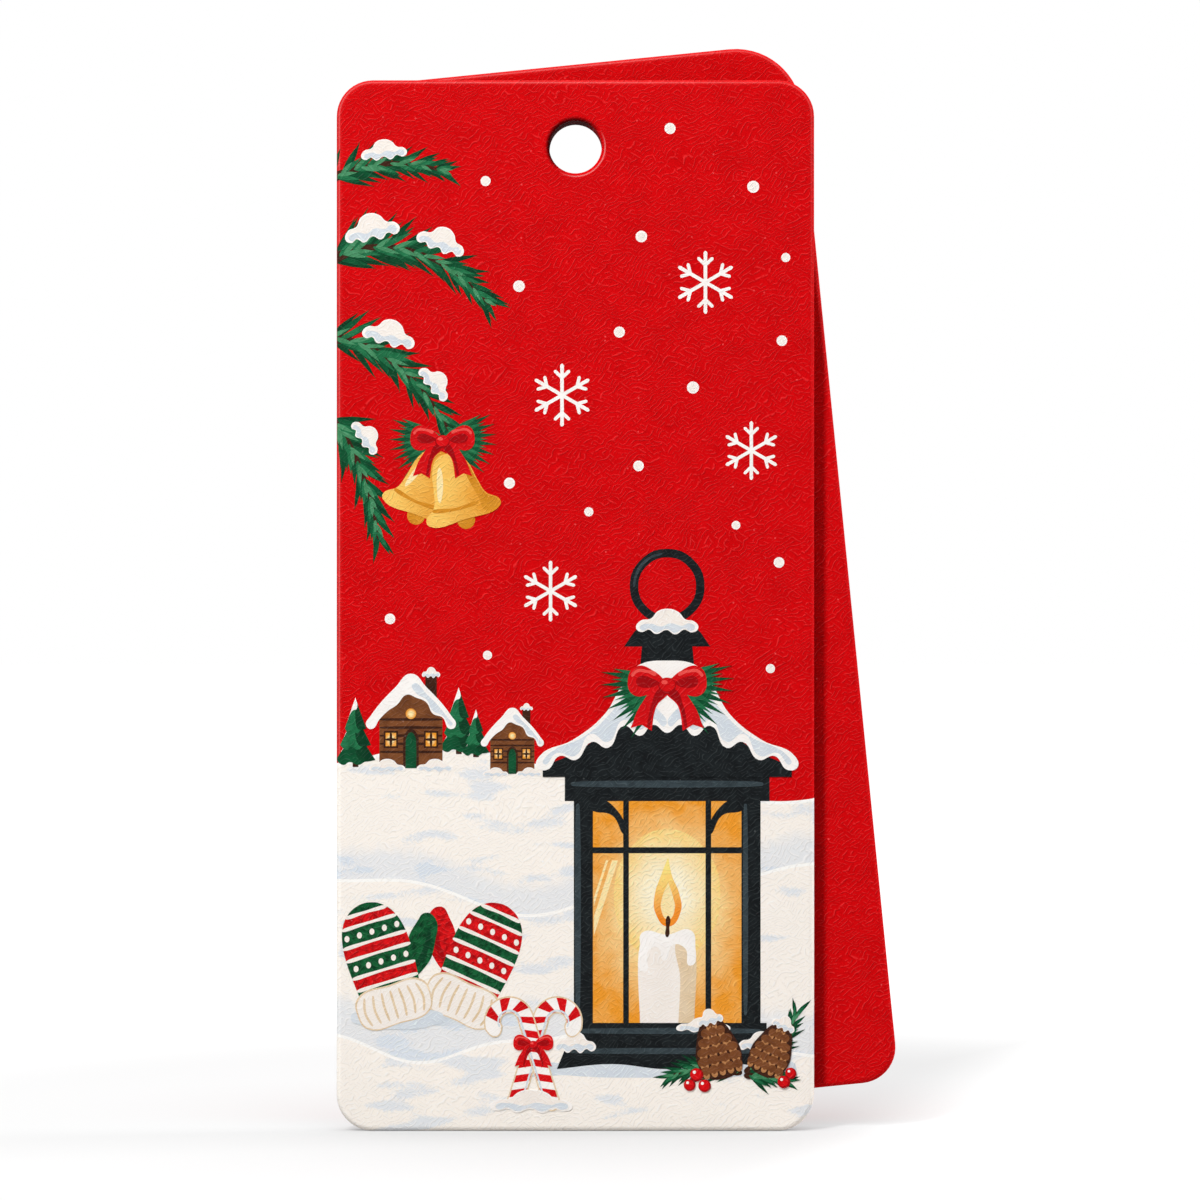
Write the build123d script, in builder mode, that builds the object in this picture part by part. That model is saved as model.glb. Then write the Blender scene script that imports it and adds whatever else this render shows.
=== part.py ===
"""Gift tag of two laminated leaves that share one punched hanging hole.

Each leaf is a board core with a face sheet pressed over its front edges and a back sheet behind it.
The back leaf swivels about the hole and rests fanned out to the right of the front leaf.

Frame, in millimetres: +X to the right across the tag, +Y from the front to the back, +Z up.
The origin is on the axis of the hanging hole, midway between the two leaves.
"""

import os
from dataclasses import dataclass
from math import sqrt

from build123d import *

# Outline of each leaf, and how far its hole lies below its top edge
front_width = 50.0
front_height = 110.0
front_hole_drop = 7.0
back_width = 48.3
back_height = 109.7
back_hole_drop = 8.9

# Cut corners and hole: the back leaf has rounder shoulders
corner_radius = 3.8
back_shoulder_radius = 7.0
hole_diameter = 5.5

# Plies of a leaf
face_sheet_thickness = 0.3
core_thickness = 1.4
back_sheet_thickness = 0.3

# Edges left by the die: the face sheet rolls over the board's edge and ends in a short straight lip
board_edge_radius = 0.25
lip_length = 0.1
rear_edge_break = 0.08

# How the leaves lie at rest: the clear space between them, and the turn of the back leaf about the hole
leaf_gap = 0.2
fan_angle = 5.7

# The face sheet bends round the board's rounded edge at an even thickness. At the hole the punch leaves
# the board a bevel that just touches the same round.
roll_radius = board_edge_radius + face_sheet_thickness
punched_bevel = board_edge_radius * (2 - sqrt(2))
step_height = board_edge_radius + lip_length
core_front = back_sheet_thickness + core_thickness
leaf_thickness = core_front + face_sheet_thickness


@dataclass(frozen=True)
class Leaf:
    """One leaf of the tag. Its rear plane faces the viewer, with the hole at its origin and its top along Y."""

    name: str
    width: float
    height: float
    hole_drop: float
    shoulder_radius: float
    rear: Plane

    @property
    def to_front(self):
        """The axis along which the plies of the leaf are stacked, from its rear to its front."""
        return Axis(self.rear.origin, self.rear.z_dir)


fanned = Plane((0, 0, 0), x_dir=Vector(1, 0, 0).rotate(Axis.Y, -fan_angle), z_dir=Plane.XZ.z_dir)
front_leaf = Leaf(
    "front", front_width, front_height, front_hole_drop, corner_radius, Plane.XZ.offset(leaf_gap / 2)
)
back_leaf = Leaf(
    "back",
    back_width,
    back_height,
    back_hole_drop,
    back_shoulder_radius,
    fanned.offset(-leaf_gap / 2 - leaf_thickness),
)


def draw_outline(leaf, inset=0.0):
    """Draws the leaf's die-cut outline and hole on the current sketch, pulled back from every edge by inset."""
    with Locations((0, leaf.hole_drop - leaf.height / 2)):
        Rectangle(leaf.width - 2 * inset, leaf.height - 2 * inset)
    fillet(vertices().group_by(Axis.Y)[-1], leaf.shoulder_radius - inset)
    fillet(vertices().group_by(Axis.Y)[0], corner_radius - inset)
    Circle(hole_diameter / 2 + inset, mode=Mode.SUBTRACT)


def make_core_step(leaf):
    """The front of the board, set in and eased where the rolled edges of the face sheet cover it."""
    with BuildPart() as core_step:
        with BuildSketch(leaf.rear.offset(core_front - step_height)):
            draw_outline(leaf, inset=face_sheet_thickness)
        extrude(amount=step_height)
        fillet(core_step.faces().sort_by(leaf.to_front)[-1].outer_wire().edges(), board_edge_radius)
        punched_edge = core_step.faces().sort_by(leaf.to_front)[-1].inner_wires()[0].edges()
        chamfer(punched_edge, punched_bevel)
    return core_step.part


def make_face_sheet(leaf):
    """The face paper: a flat panel with its edges rolled back over the board and into the hole."""
    core_step = make_core_step(leaf)
    with BuildPart() as face_sheet:
        with BuildSketch(leaf.rear.offset(core_front - step_height)):
            draw_outline(leaf)
        extrude(amount=step_height + face_sheet_thickness)
        fillet(face_sheet.faces().sort_by(leaf.to_front)[-1].edges(), roll_radius)
        add(core_step, mode=Mode.SUBTRACT)
    return face_sheet.part


def make_core_board(leaf):
    """The board that gives the leaf its body, with the step that the face sheet seats on."""
    core_step = make_core_step(leaf)
    with BuildPart() as core_board:
        with BuildSketch(leaf.rear.offset(back_sheet_thickness)):
            draw_outline(leaf)
        extrude(amount=core_thickness - step_height)
        add(core_step)
    return core_board.part


def make_back_sheet(leaf):
    """The plain paper on the rear of the board, with its cut edges slightly broken."""
    with BuildPart() as back_sheet:
        with BuildSketch(leaf.rear):
            draw_outline(leaf)
        extrude(amount=back_sheet_thickness)
        chamfer(back_sheet.faces().sort_by(leaf.to_front)[0].edges(), rear_edge_break)
    return back_sheet.part


ply_makers = {
    "face_sheet": make_face_sheet,
    "core_board": make_core_board,
    "back_sheet": make_back_sheet,
}

os.makedirs("parts", exist_ok=True)
for leaf in (front_leaf, back_leaf):
    for ply, make_ply in ply_makers.items():
        part = make_ply(leaf)
        part.label = f"{leaf.name}_{ply}"
        export_step(part, f"parts/{part.label}.step")
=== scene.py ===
"""Dresses the two-leaf gift tag in printed fibre paper and sets it in a plain white studio."""

import logging
import math
import random
from dataclasses import dataclass, field
from enum import Enum
from functools import cache
from typing import NamedTuple, Sequence, Union

import bpy
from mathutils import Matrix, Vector


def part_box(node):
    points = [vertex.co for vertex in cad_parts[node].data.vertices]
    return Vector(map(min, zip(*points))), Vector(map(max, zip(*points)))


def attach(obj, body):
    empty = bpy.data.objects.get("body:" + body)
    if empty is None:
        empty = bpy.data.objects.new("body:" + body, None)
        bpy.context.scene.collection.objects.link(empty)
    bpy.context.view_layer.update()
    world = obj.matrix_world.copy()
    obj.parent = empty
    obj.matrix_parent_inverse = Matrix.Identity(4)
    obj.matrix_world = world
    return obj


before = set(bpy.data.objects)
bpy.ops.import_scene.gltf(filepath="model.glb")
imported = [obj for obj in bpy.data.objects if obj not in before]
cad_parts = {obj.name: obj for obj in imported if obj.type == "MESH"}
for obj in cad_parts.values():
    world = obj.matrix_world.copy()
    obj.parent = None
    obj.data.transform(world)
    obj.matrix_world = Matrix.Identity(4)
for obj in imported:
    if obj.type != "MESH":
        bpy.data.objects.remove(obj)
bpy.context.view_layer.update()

INK_MAP = "ink"
MM = 0.001

log = logging.getLogger("gift_tag")

Number = Union[float, "Value"]
Pair = tuple[float, float]
Range = tuple[float, float]
Colour = tuple[float, float, float]
Point = tuple[float, float]
Socket = bpy.types.NodeSocket
Material = bpy.types.Material


def srgb(code: str) -> Colour:
    """Turns a hex colour as it looks on screen into the linear values that shaders use."""
    parts = [int(code[i : i + 2], 16) / 255 for i in (0, 2, 4)]
    return tuple(p / 12.92 if p <= 0.04045 else ((p + 0.055) / 1.055) ** 2.4 for p in parts)


class Value:
    """A number that varies over a surface: a node's output that can be used in sums."""

    def __init__(self, shader: "Shader", socket: Socket) -> None:
        """Keeps the output and the node tree that it belongs to."""
        self.shader = shader
        self.socket = socket

    def __add__(self, other: Number) -> "Value":
        """Sum of two values, in either order."""
        return self.shader.math("ADD", self, other)

    def __sub__(self, other: Number) -> "Value":
        """Difference of two values."""
        return self.shader.math("SUBTRACT", self, other)

    def __rsub__(self, other: Number) -> "Value":
        """Difference with a plain number first."""
        return self.shader.math("SUBTRACT", other, self)

    def __mul__(self, other: Number) -> "Value":
        """Product of two values, in either order."""
        return self.shader.math("MULTIPLY", self, other)

    def __abs__(self) -> "Value":
        """Size of the value without its sign."""
        return self.shader.math("ABSOLUTE", self)

    __radd__ = __add__
    __rmul__ = __mul__


class Shader:
    """The node tree of a material or of the world, with short ways to add nodes to it."""

    paper_gloss = 0.03
    cloud_octaves = 3.0
    cloud_range = (0.32, 0.72)

    def __init__(self, owner: Union[Material, bpy.types.World]) -> None:
        """Starts an empty tree.

        Args:
            owner: The material or world that the tree belongs to.
        """
        owner.use_nodes = True
        self.owner = owner
        self.tree = owner.node_tree
        self.tree.nodes.clear()

    def node(self, kind: str, settings: dict | None = None, sockets: dict | None = None) -> bpy.types.Node:
        """Adds any node.

        Args:
            kind: The node's type, such as ShaderNodeTexNoise.
            settings: Its own properties, set before its sockets.
            sockets: Values or links for its inputs, by name or number.

        Returns:
            The new node.
        """
        made = self.tree.nodes.new(kind)
        for key, value in (settings or {}).items():
            setattr(made, key, value)
        for key, value in (sockets or {}).items():
            source = value.socket if isinstance(value, Value) else value
            if isinstance(source, Socket):
                self.tree.links.new(source, made.inputs[key])
            else:
                made.inputs[key].default_value = source
        return made

    def math(self, operation: str, *terms: Number) -> Value:
        """Adds a Math node with these inputs."""
        made = self.node("ShaderNodeMath", {"operation": operation}, dict(enumerate(terms)))
        return Value(self, made.outputs[0])

    def vector(self, operation: str, *terms: object) -> Socket:
        """Adds a Vector Math node with these inputs."""
        return self.node("ShaderNodeVectorMath", {"operation": operation}, dict(enumerate(terms))).outputs[0]

    def fade(self, value: Number, start: float, end: float) -> Value:
        """Smooth step from one level of a value to another.

        Args:
            value: What is read.
            start: Where the step is 0.
            end: Where the step is 1, above or below the start.

        Returns:
            The step.
        """
        settings = {"interpolation_type": "SMOOTHSTEP"}
        sockets = {"Value": value, "From Min": start, "From Max": end}
        return Value(self, self.node("ShaderNodeMapRange", settings, sockets).outputs["Result"])

    def line(self, value: Value, level: float, width: float) -> Value:
        """1 where a value is at a level, falling to 0 where it is off by the width."""
        return self.fade(abs(value - level), width, 0.0)

    def length(self, across: Value, up: Value) -> Value:
        """Length of a flat vector with these two parts."""
        return self.math("SQRT", across * across + up * up)

    def blend(self, share: Number, first: object, second: object) -> Socket:
        """Mixes two colours.

        Args:
            share: 0 for the first colour, 1 for the second.
            first: A colour or a colour output.
            second: A colour or a colour output.

        Returns:
            The mixed colour's output.
        """
        colours = [c if isinstance(c, Socket) else (*c, 1.0) for c in (first, second)]
        sockets = {0: share, 6: colours[0], 7: colours[1]}
        return self.node("ShaderNodeMix", {"data_type": "RGBA"}, sockets).outputs[2]

    def millimetres(self) -> Socket:
        """The place on the piece, in millimetres in the tag's own frame."""
        return self.vector("MULTIPLY", self.node("ShaderNodeTexCoord").outputs["Object"], (1 / MM,) * 3)

    def split(self, vector: Socket) -> tuple[Value, Value, Value]:
        """The three parts of a vector as separate values."""
        parts = self.node("ShaderNodeSeparateXYZ", sockets={0: vector}).outputs
        return tuple(Value(self, part) for part in parts)

    def noise(self, place: Socket, scale: float, detail: float = 1.0) -> Value:
        """Cloudy noise from 0 to 1.

        Args:
            place: Where it is read, in millimetres.
            scale: Features per millimetre.
            detail: Octaves of finer noise.

        Returns:
            The noise.
        """
        sockets = {"Vector": place, "Scale": scale, "Detail": detail}
        return Value(self, self.node("ShaderNodeTexNoise", sockets=sockets).outputs[0])

    def cloud(self, place: Socket, scale: float) -> Value:
        """Soft patches from 0 to 1, this many to the millimetre."""
        return self.fade(self.noise(place, scale, self.cloud_octaves), *self.cloud_range)

    def surface(self, colour: Socket, relief: Value, roughness: float, relief_mm: float) -> Material:
        """Joins colour and relief to a matt surface.

        Args:
            colour: The colour's output.
            relief: Height from 0 to 1.
            roughness: How matt the surface is.
            relief_mm: Height of the full relief in millimetres.

        Returns:
            The finished material.
        """
        bump = self.node("ShaderNodeBump", sockets={"Distance": relief_mm * MM, "Height": relief})
        sockets = {"Base Color": colour, "Roughness": roughness, "Normal": bump.outputs[0]}
        sockets["Specular IOR Level"] = self.paper_gloss
        skin = self.node("ShaderNodeBsdfPrincipled", sockets=sockets)
        self.node("ShaderNodeOutputMaterial", sockets={"Surface": skin.outputs[0]})
        return self.owner


@dataclass(frozen=True)
class DieCut:
    """The cut outline of a leaf, in millimetres about its hole, and the leaf's turn about that hole."""

    width: float
    height: float
    hole_drop: float
    turn: float = 0.0
    shoulder_radius: float = 3.8
    corner_radius: float = 3.8
    hole_radius: float = 2.75
    # Where the painted edge highlights fade in, from the lower right to the upper left.
    highlight_range: Range = (-0.8, 0.9)

    def upright(self, shader: Shader, place: Socket) -> tuple[Value, Value]:
        """Reads a place with the leaf turned upright.

        Args:
            shader: The material that gets the nodes.
            place: The place on the tag, in millimetres.

        Returns:
            How far it lies across the leaf, and above the hole.
        """
        rotation = (0.0, math.radians(self.turn), 0.0)
        turned_back = shader.node("ShaderNodeMapping", sockets={"Vector": place, "Rotation": rotation})
        across, _, up = shader.split(turned_back.outputs[0])
        return across, up

    def above_middle(self, up: Value) -> Value:
        """Height above the leaf's middle, from the height above its hole."""
        return up - (self.hole_drop - self.height / 2)

    def depth(self, shader: Shader, across: Value, up: Value) -> Value:
        """Finds how far inside the outline each point lies.

        Args:
            shader: The material that gets the nodes.
            across: Place across the leaf.
            up: Place above the hole.

        Returns:
            The depth in millimetres.
        """
        above_middle = self.above_middle(up)
        upper_half = shader.math("GREATER_THAN", above_middle, 0.0)
        radius = self.corner_radius + upper_half * (self.shoulder_radius - self.corner_radius)
        past_side = abs(across) - (self.width / 2 - radius)
        past_end = abs(above_middle) - (self.height / 2 - radius)
        outside = [shader.math("MAXIMUM", past, 0.0) for past in (past_side, past_end)]
        straight_part = shader.math("MINIMUM", shader.math("MAXIMUM", past_side, past_end), 0.0)
        return radius - (shader.length(*outside) + straight_part)

    def upper_left_light(self, shader: Shader, across: Value, up: Value) -> Value:
        """0 in the leaf's lower right to 1 in its upper left, where the light falls and the edge highlights
        are painted.
        """
        diagonal = self.above_middle(up) * (2 / self.height) - across * (2 / self.width)
        return shader.fade(diagonal, *self.highlight_range)


FRONT_CUT = DieCut(width=50.0, height=110.0, hole_drop=7.0)
BACK_CUT = DieCut(width=48.3, height=109.7, hole_drop=8.9, turn=5.7, shoulder_radius=7.0)


@dataclass(frozen=True)
class FibrePaper:
    """The tooth of the uncoated paper, shared by every sheet and by the ink printed on it.

    Colours are linear, and shares and levels go from 0 to 1.
    """

    strand_pitch_mm: float = 0.4
    cross_pitch_mm: float = 0.46
    strand_lean: float = 38.0
    cross_lean: float = -20.0
    curl: float = 5.0
    curl_fineness: float = 1.35
    swirl_mm: float = 2.0
    swirl_per_mm: float = 0.28
    strand_phase: float = 0.5
    strand_width: float = 0.18
    furrow_phase: float = 0.28
    furrow_width: float = 0.2
    break_per_mm: float = 2.1
    main_breaks: Range = (0.43, 0.57)
    cross_breaks: Range = (0.5, 0.36)
    cross_strength: float = 0.85
    strand_gain: float = 1.3
    strand_lift: Colour = (0.025, 0.03, 0.03)
    strand_limit: Colour = (0.96, 0.94, 0.92)
    strand_cover: float = 0.82
    strand_show: float = 0.85
    # Painted shade: furrows along the strands' lower sides are darkened by this colour.
    furrow_shade_colour: Colour = (0.72, 0.69, 0.66)
    furrow_shade_show: float = 0.7
    grain_per_mm: float = 6.5
    grain_octaves: float = 2.0
    pit_range: Range = (0.56, 0.3)
    pit_show: float = 0.2
    fleck_per_mm: float = 0.9
    fleck_reach: Range = (0.12, 0.05)
    fleck_chance: Range = (0.74, 0.8)
    fleck: float = 0.045
    relief_mm: float = 0.042
    ground_level: float = 0.3
    strand_height: float = 0.6
    furrow_drop: float = 0.36
    grain_height: float = 0.36
    # Pale rub along the cut edges, partly wear and partly painted highlight, and a painted highlight line
    # just inside them.
    rub_and_highlight: float = 0.015
    rub_and_highlight_mm: float = 0.8
    rag_per_mm: float = 1.6
    rag_octaves: float = 2.0
    rag_mm: float = 0.4
    edge_highlight: float = 0.08
    edge_highlight_mm: float = 0.3
    edge_highlight_width_mm: float = 0.13
    # Painted highlight on the bore's lower-right rim.
    rim: float = 0.2
    rim_mm: float = 0.36
    rim_width_mm: float = 0.11
    rim_side_mm: Range = (0.6, 3.6)
    # Pale colour of bare fibre specks and of the painted highlights.
    bare_fibre_and_highlight: Colour = (0.92, 0.86, 0.84)
    # Painted shade in the bore's upper left.
    bore_shade: float = 0.9
    bore_shade_mm: float = 0.5
    bore_shade_side_mm: Range = (-1.5, 1.5)
    bore_shade_colour: Colour = (0.006, 0.0, 0.0)

    radians_per_unit = 20.0

    def comb(self, shader: Shader, place: Socket, lean: float, pitch: float) -> tuple[Value, Value]:
        """Curling strands that mostly lie one way, each with a furrow along its lower side.

        Args:
            shader: The material that gets the nodes.
            place: Where the paper is read, in millimetres.
            lean: Degrees from the horizontal that most strands lie at.
            pitch: Millimetres from strand to strand.

        Returns:
            Strands and furrows, each from 0 to 1.
        """
        settings = {"vector_type": "TEXTURE"}
        sockets = {"Vector": place, "Rotation": (0.0, -math.radians(lean), 0.0)}
        combed = shader.node("ShaderNodeMapping", settings, sockets).outputs[0]
        waves = shader.node(
            "ShaderNodeTexWave",
            {"wave_type": "BANDS", "bands_direction": "Z", "wave_profile": "SAW"},
            {
                "Vector": combed,
                "Scale": math.tau / self.radians_per_unit / pitch,
                "Distortion": self.curl,
                "Detail": 0.0,
                "Detail Scale": self.curl_fineness,
            },
        )
        phase = Value(shader, waves.outputs["Fac"])
        strands = shader.line(phase, self.strand_phase, self.strand_width)
        furrows = shader.line(phase, self.furrow_phase, self.furrow_width)
        return strands, furrows

    def specks(self, shader: Shader, place: Socket) -> Value:
        """Small round specks of bare fibre, scattered over the paper.

        Args:
            shader: The material that gets the nodes.
            place: Where the paper is read, in millimetres.

        Returns:
            The specks, from 0 to 1.
        """
        cells = shader.node("ShaderNodeTexVoronoi", sockets={"Vector": place, "Scale": self.fleck_per_mm})
        chance = shader.split(cells.outputs["Color"])[0]
        dots = shader.fade(Value(shader, cells.outputs["Distance"]), *self.fleck_reach)
        return dots * shader.fade(chance, *self.fleck_chance)

    def tooth(self, shader: Shader, place: Socket, colour: Socket, show: Number) -> tuple[Socket, Value]:
        """Lays strands and specks of fibre over a colour, with painted shade in the furrows beside the
        strands.

        Args:
            shader: The material that gets the nodes.
            place: Where the paper is read, in millimetres.
            colour: The colour without fibres.
            show: How plainly the fibres show, 1 for bare paper.

        Returns:
            The colour with fibres and the height of the surface.
        """
        eddies = {"Vector": place, "Scale": self.swirl_per_mm, "Detail": 0.0}
        eddy = shader.node("ShaderNodeTexNoise", sockets=eddies).outputs["Color"]
        swirled = shader.vector("MULTIPLY_ADD", eddy, (self.swirl_mm,) * 3, place)
        main_strands, main_furrows = self.comb(shader, swirled, self.strand_lean, self.strand_pitch_mm)
        cross_strands, cross_furrows = self.comb(shader, swirled, self.cross_lean, self.cross_pitch_mm)
        breaks = shader.noise(place, self.break_per_mm)
        main_share = shader.fade(breaks, *self.main_breaks)
        cross_share = shader.fade(breaks, *self.cross_breaks) * self.cross_strength
        strands = main_strands * main_share + cross_strands * cross_share
        furrows = main_furrows * main_share + cross_furrows * cross_share
        flecks = self.specks(shader, place)
        grain = shader.noise(place, self.grain_per_mm, self.grain_octaves)
        pits = shader.fade(grain, *self.pit_range) * self.pit_show
        # Painted shade: each strand's furrow on its lower side is darkened, as if the strand shaded it.
        dark = shader.vector("MULTIPLY", colour, self.furrow_shade_colour)
        furrow_shaded = shader.blend((furrows * self.furrow_shade_show + pits) * show, colour, dark)
        raised = shader.vector("MULTIPLY_ADD", furrow_shaded, (self.strand_gain,) * 3, self.strand_lift)
        pale = shader.vector("MINIMUM", raised, self.strand_limit)
        covered = shader.math("MINIMUM", strands * self.strand_cover + flecks, 1.0)
        stranded = shader.blend(covered * self.strand_show, furrow_shaded, pale)
        fibred = shader.blend(flecks * show * self.fleck, stranded, self.bare_fibre_and_highlight)
        height = strands * self.strand_height - furrows * self.furrow_drop + grain * self.grain_height
        return fibred, self.ground_level + height * show

    def worn_and_lit(self, shader: Shader, place: Socket, colour: Socket, cut: DieCut) -> Socket:
        """Rubs a colour paler along a leaf's cut edges and paints highlights there, and paints shade and a
        highlight in the bore.

        Args:
            shader: The material that gets the nodes.
            place: Where the paper is read, in millimetres.
            colour: The colour without wear and painted light.
            cut: The leaf's outline.

        Returns:
            The colour with wear and painted light.
        """
        across, up = cut.upright(shader, place)
        depth = cut.depth(shader, across, up)
        ragged = depth + (shader.noise(place, self.rag_per_mm, self.rag_octaves) - 0.5) * self.rag_mm
        # Pale rub along the cut edges: partly wear, partly a painted highlight on the rolled edge.
        rubbed_and_lit = shader.fade(ragged, self.rub_and_highlight_mm, 0.0) * self.rub_and_highlight
        # Painted highlight: a thin pale line just inside the cut edge.
        edge_highlight = shader.line(depth, self.edge_highlight_mm, self.edge_highlight_width_mm) * self.edge_highlight
        # Both are strongest at the upper left, where the light falls on the edges.
        worn_and_lit_edges = (rubbed_and_lit + edge_highlight) * cut.upper_left_light(shader, across, up)
        off_bore = shader.length(across, up) - cut.hole_radius
        # Painted shade: the bore's upper left is darkened to near black, where its wall is out of the light.
        shaded_side = shader.fade(up - across, *self.bore_shade_side_mm) * self.bore_shade
        bore_shaded = shader.blend(shader.fade(off_bore, self.bore_shade_mm, 0.0) * shaded_side, colour, self.bore_shade_colour)
        # Painted highlight: a thin pale ring round the bore's lower right, where the light catches its rim.
        bore_lit_side = shader.fade(across - up, *self.rim_side_mm) * self.rim
        rim = shader.line(off_bore, self.rim_mm, self.rim_width_mm) * bore_lit_side
        return shader.blend(worn_and_lit_edges + rim, bore_shaded, self.bare_fibre_and_highlight)


PAPER = FibrePaper()


class Grade(Enum):
    """How an ink goes from its first colour to its second across a shape."""

    FLAT = "flat"
    UP = "up"
    ACROSS = "across"
    ROUND = "round"


@dataclass(frozen=True)
class Ink:
    """A matt colour on fibre paper: a printing ink, or the dye of a sheet that is one colour all through."""

    name: str
    colour: str
    second: str
    grade: Grade = Grade.FLAT
    mottle: float = 0.5
    mottle_per_mm: float = 0.5
    show: float = 0.8
    roughness: float = 0.75
    cut: DieCut | None = None

    mottle_of_grade = 0.5
    round_reach = (0.05, 0.55)

    @cache
    def material(self) -> Material:
        """Makes the finish, once.

        Returns:
            The finished material.
        """
        shader = Shader(bpy.data.materials.new(self.name))
        place = shader.millimetres()
        share = shader.cloud(place, self.mottle_per_mm) * self.mottle
        if self.grade is not Grade.FLAT:
            share = self.ramp(shader) + (share - self.mottle / 2) * self.mottle_of_grade
        ground = shader.blend(share, srgb(self.colour), srgb(self.second))
        if self.cut:
            # Wear and painted highlights along the edges, and painted shade and a highlight in the bore.
            ground = PAPER.worn_and_lit(shader, place, ground, self.cut)
        fibred, relief = PAPER.tooth(shader, place, ground, self.show)
        return shader.surface(fibred, relief, self.roughness, PAPER.relief_mm)

    def ramp(self, shader: Shader) -> Value:
        """Reads from a shape's own map how far the second colour has come in.

        Args:
            shader: The material that gets the nodes.

        Returns:
            0 for the first colour, 1 for the second.
        """
        across, up, _ = shader.split(shader.node("ShaderNodeUVMap", {"uv_map": INK_MAP}).outputs[0])
        if self.grade is Grade.UP:
            return shader.fade(up, 0.0, 1.0)
        if self.grade is Grade.ACROSS:
            return shader.fade(across, 0.0, 1.0)
        return shader.fade(shader.length(across - 0.5, up - 0.5), *self.round_reach)


@dataclass(frozen=True)
class Wave:
    """One sine wave of a snow crest, in millimetres."""

    height: float
    length: float
    shift: float


@dataclass(frozen=True)
class Slope:
    """A snow slope that runs right across the leaf, and the waves along its crest."""

    level: float
    waves: tuple[Wave, ...]
    shade_depth: float

    def crest(self, x: float) -> float:
        """Height of the crest at one place across the leaf."""
        return self.level + sum(w.height * math.sin((x - w.shift) * math.tau / w.length) for w in self.waves)

    def crest_nodes(self, shader: Shader, x: Value) -> Value:
        """Height of the crest all across the leaf, for a material."""
        swings = [shader.math("SINE", (x - w.shift) * (math.tau / w.length)) * w.height for w in self.waves]
        return sum(swings, self.level)


FAR_SLOPE = Slope(-65.6, (Wave(2.4, 80.0, -35.0), Wave(0.6, 23.0, 3.0)), 4.0)
MIDDLE_SLOPE = Slope(-77.5, (Wave(2.0, 52.0, 9.0), Wave(0.8, 21.0, 0.0)), 5.0)
NEAR_SLOPE = Slope(-93.5, (Wave(1.6, 37.0, -6.0), Wave(0.6, 15.0, 2.0)), 3.5)


@dataclass(frozen=True)
class WinterGround:
    """The ground of the printed picture: a red sky over slopes of snow, printed round the leaf's edges."""

    name: str = "printed_ground"
    slopes: tuple[Slope, ...] = (FAR_SLOPE, MIDDLE_SLOPE, NEAR_SLOPE)
    sky: str = "D3050B"
    sky_shade: str = "BF0307"
    sky_cloud: float = 0.5
    sky_cloud_per_mm: float = 0.4
    snow: str = "F9F2E9"
    snow_shade: str = "D9E0E8"
    snow_rim: str = "FCFAF6"
    edge_mm: float = 0.03
    rim_mm: Range = (0.36, 0.3)
    hollow: float = 0.6
    hollow_fade_mm: float = 2.2
    past_leaf_mm: float = 40.0
    brush_mm: float = 1.6
    brush_per_mm: float = 1.3
    brush_octaves: float = 3.0
    drift: float = 0.7
    drift_length_mm: float = 7.0
    drift_height_mm: float = 2.2
    drift_range: Range = (0.56, 0.66)
    drift_grain: float = 0.16
    drift_grain_per_mm: float = 4.0
    drift_grain_octaves: float = 2.0
    sky_show: float = 0.85
    snow_show: float = 0.5
    roughness: float = 0.75

    @cache
    def material(self) -> Material:
        """Makes the print, once.

        Returns:
            The finished material.
        """
        shader = Shader(bpy.data.materials.new(self.name))
        place = shader.millimetres()
        across, _, up = shader.split(place)
        cloud = shader.cloud(place, self.sky_cloud_per_mm) * self.sky_cloud
        colour = shader.blend(cloud, srgb(self.sky), srgb(self.sky_shade))
        crests = [slope.crest_nodes(shader, across) for slope in self.slopes]
        next_crests = crests[1:] + [crests[-1] - self.past_leaf_mm]
        drifts = self.drifts(shader, place)
        brush = (shader.noise(place, self.brush_per_mm, self.brush_octaves) - 0.5) * self.brush_mm
        on_snow = shader.fade(crests[0] - up, -self.edge_mm, self.edge_mm)
        for slope, crest, next_crest in zip(self.slopes, crests, next_crests):
            below = crest - up
            foot = slope.shade_depth - self.hollow_fade_mm
            hollow = shader.fade(up - next_crest + brush, slope.shade_depth, foot) * self.hollow
            shaded = shader.math("MINIMUM", hollow + drifts, 1.0)
            body = shader.blend(shaded, srgb(self.snow), srgb(self.snow_shade))
            rimmed = shader.blend(shader.fade(below, *self.rim_mm), body, srgb(self.snow_rim))
            colour = shader.blend(shader.fade(below, -self.edge_mm, self.edge_mm), colour, rimmed)
        # Wear and painted highlights along the edges, and painted shade and a highlight in the bore.
        worn_and_lit = PAPER.worn_and_lit(shader, place, colour, FRONT_CUT)
        show = self.sky_show + on_snow * (self.snow_show - self.sky_show)
        fibred, relief = PAPER.tooth(shader, place, worn_and_lit, show)
        return shader.surface(fibred, relief, self.roughness, PAPER.relief_mm)

    def drifts(self, shader: Shader, place: Socket) -> Value:
        """Long flat patches of blue shade with grainy edges that lie along the snow.

        Args:
            shader: The material that gets the nodes.
            place: Where the print is read, in millimetres.

        Returns:
            The shade, from 0 to 1.
        """
        scale = (1 / self.drift_length_mm, 1.0, 1 / self.drift_height_mm)
        cloud = shader.noise(shader.vector("MULTIPLY", place, scale), 1.0)
        grain = shader.noise(place, self.drift_grain_per_mm, self.drift_grain_octaves) - 0.5
        return shader.fade(cloud + grain * self.drift_grain, *self.drift_range) * self.drift


GROUND = WinterGround()
Finish = Union[Ink, WinterGround]


class Knot(NamedTuple):
    """A point of an outline, in millimetres. The outline turns a sharp corner at a sharp one."""

    x: float
    y: float
    sharp: bool = False


SHARP = True


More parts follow.
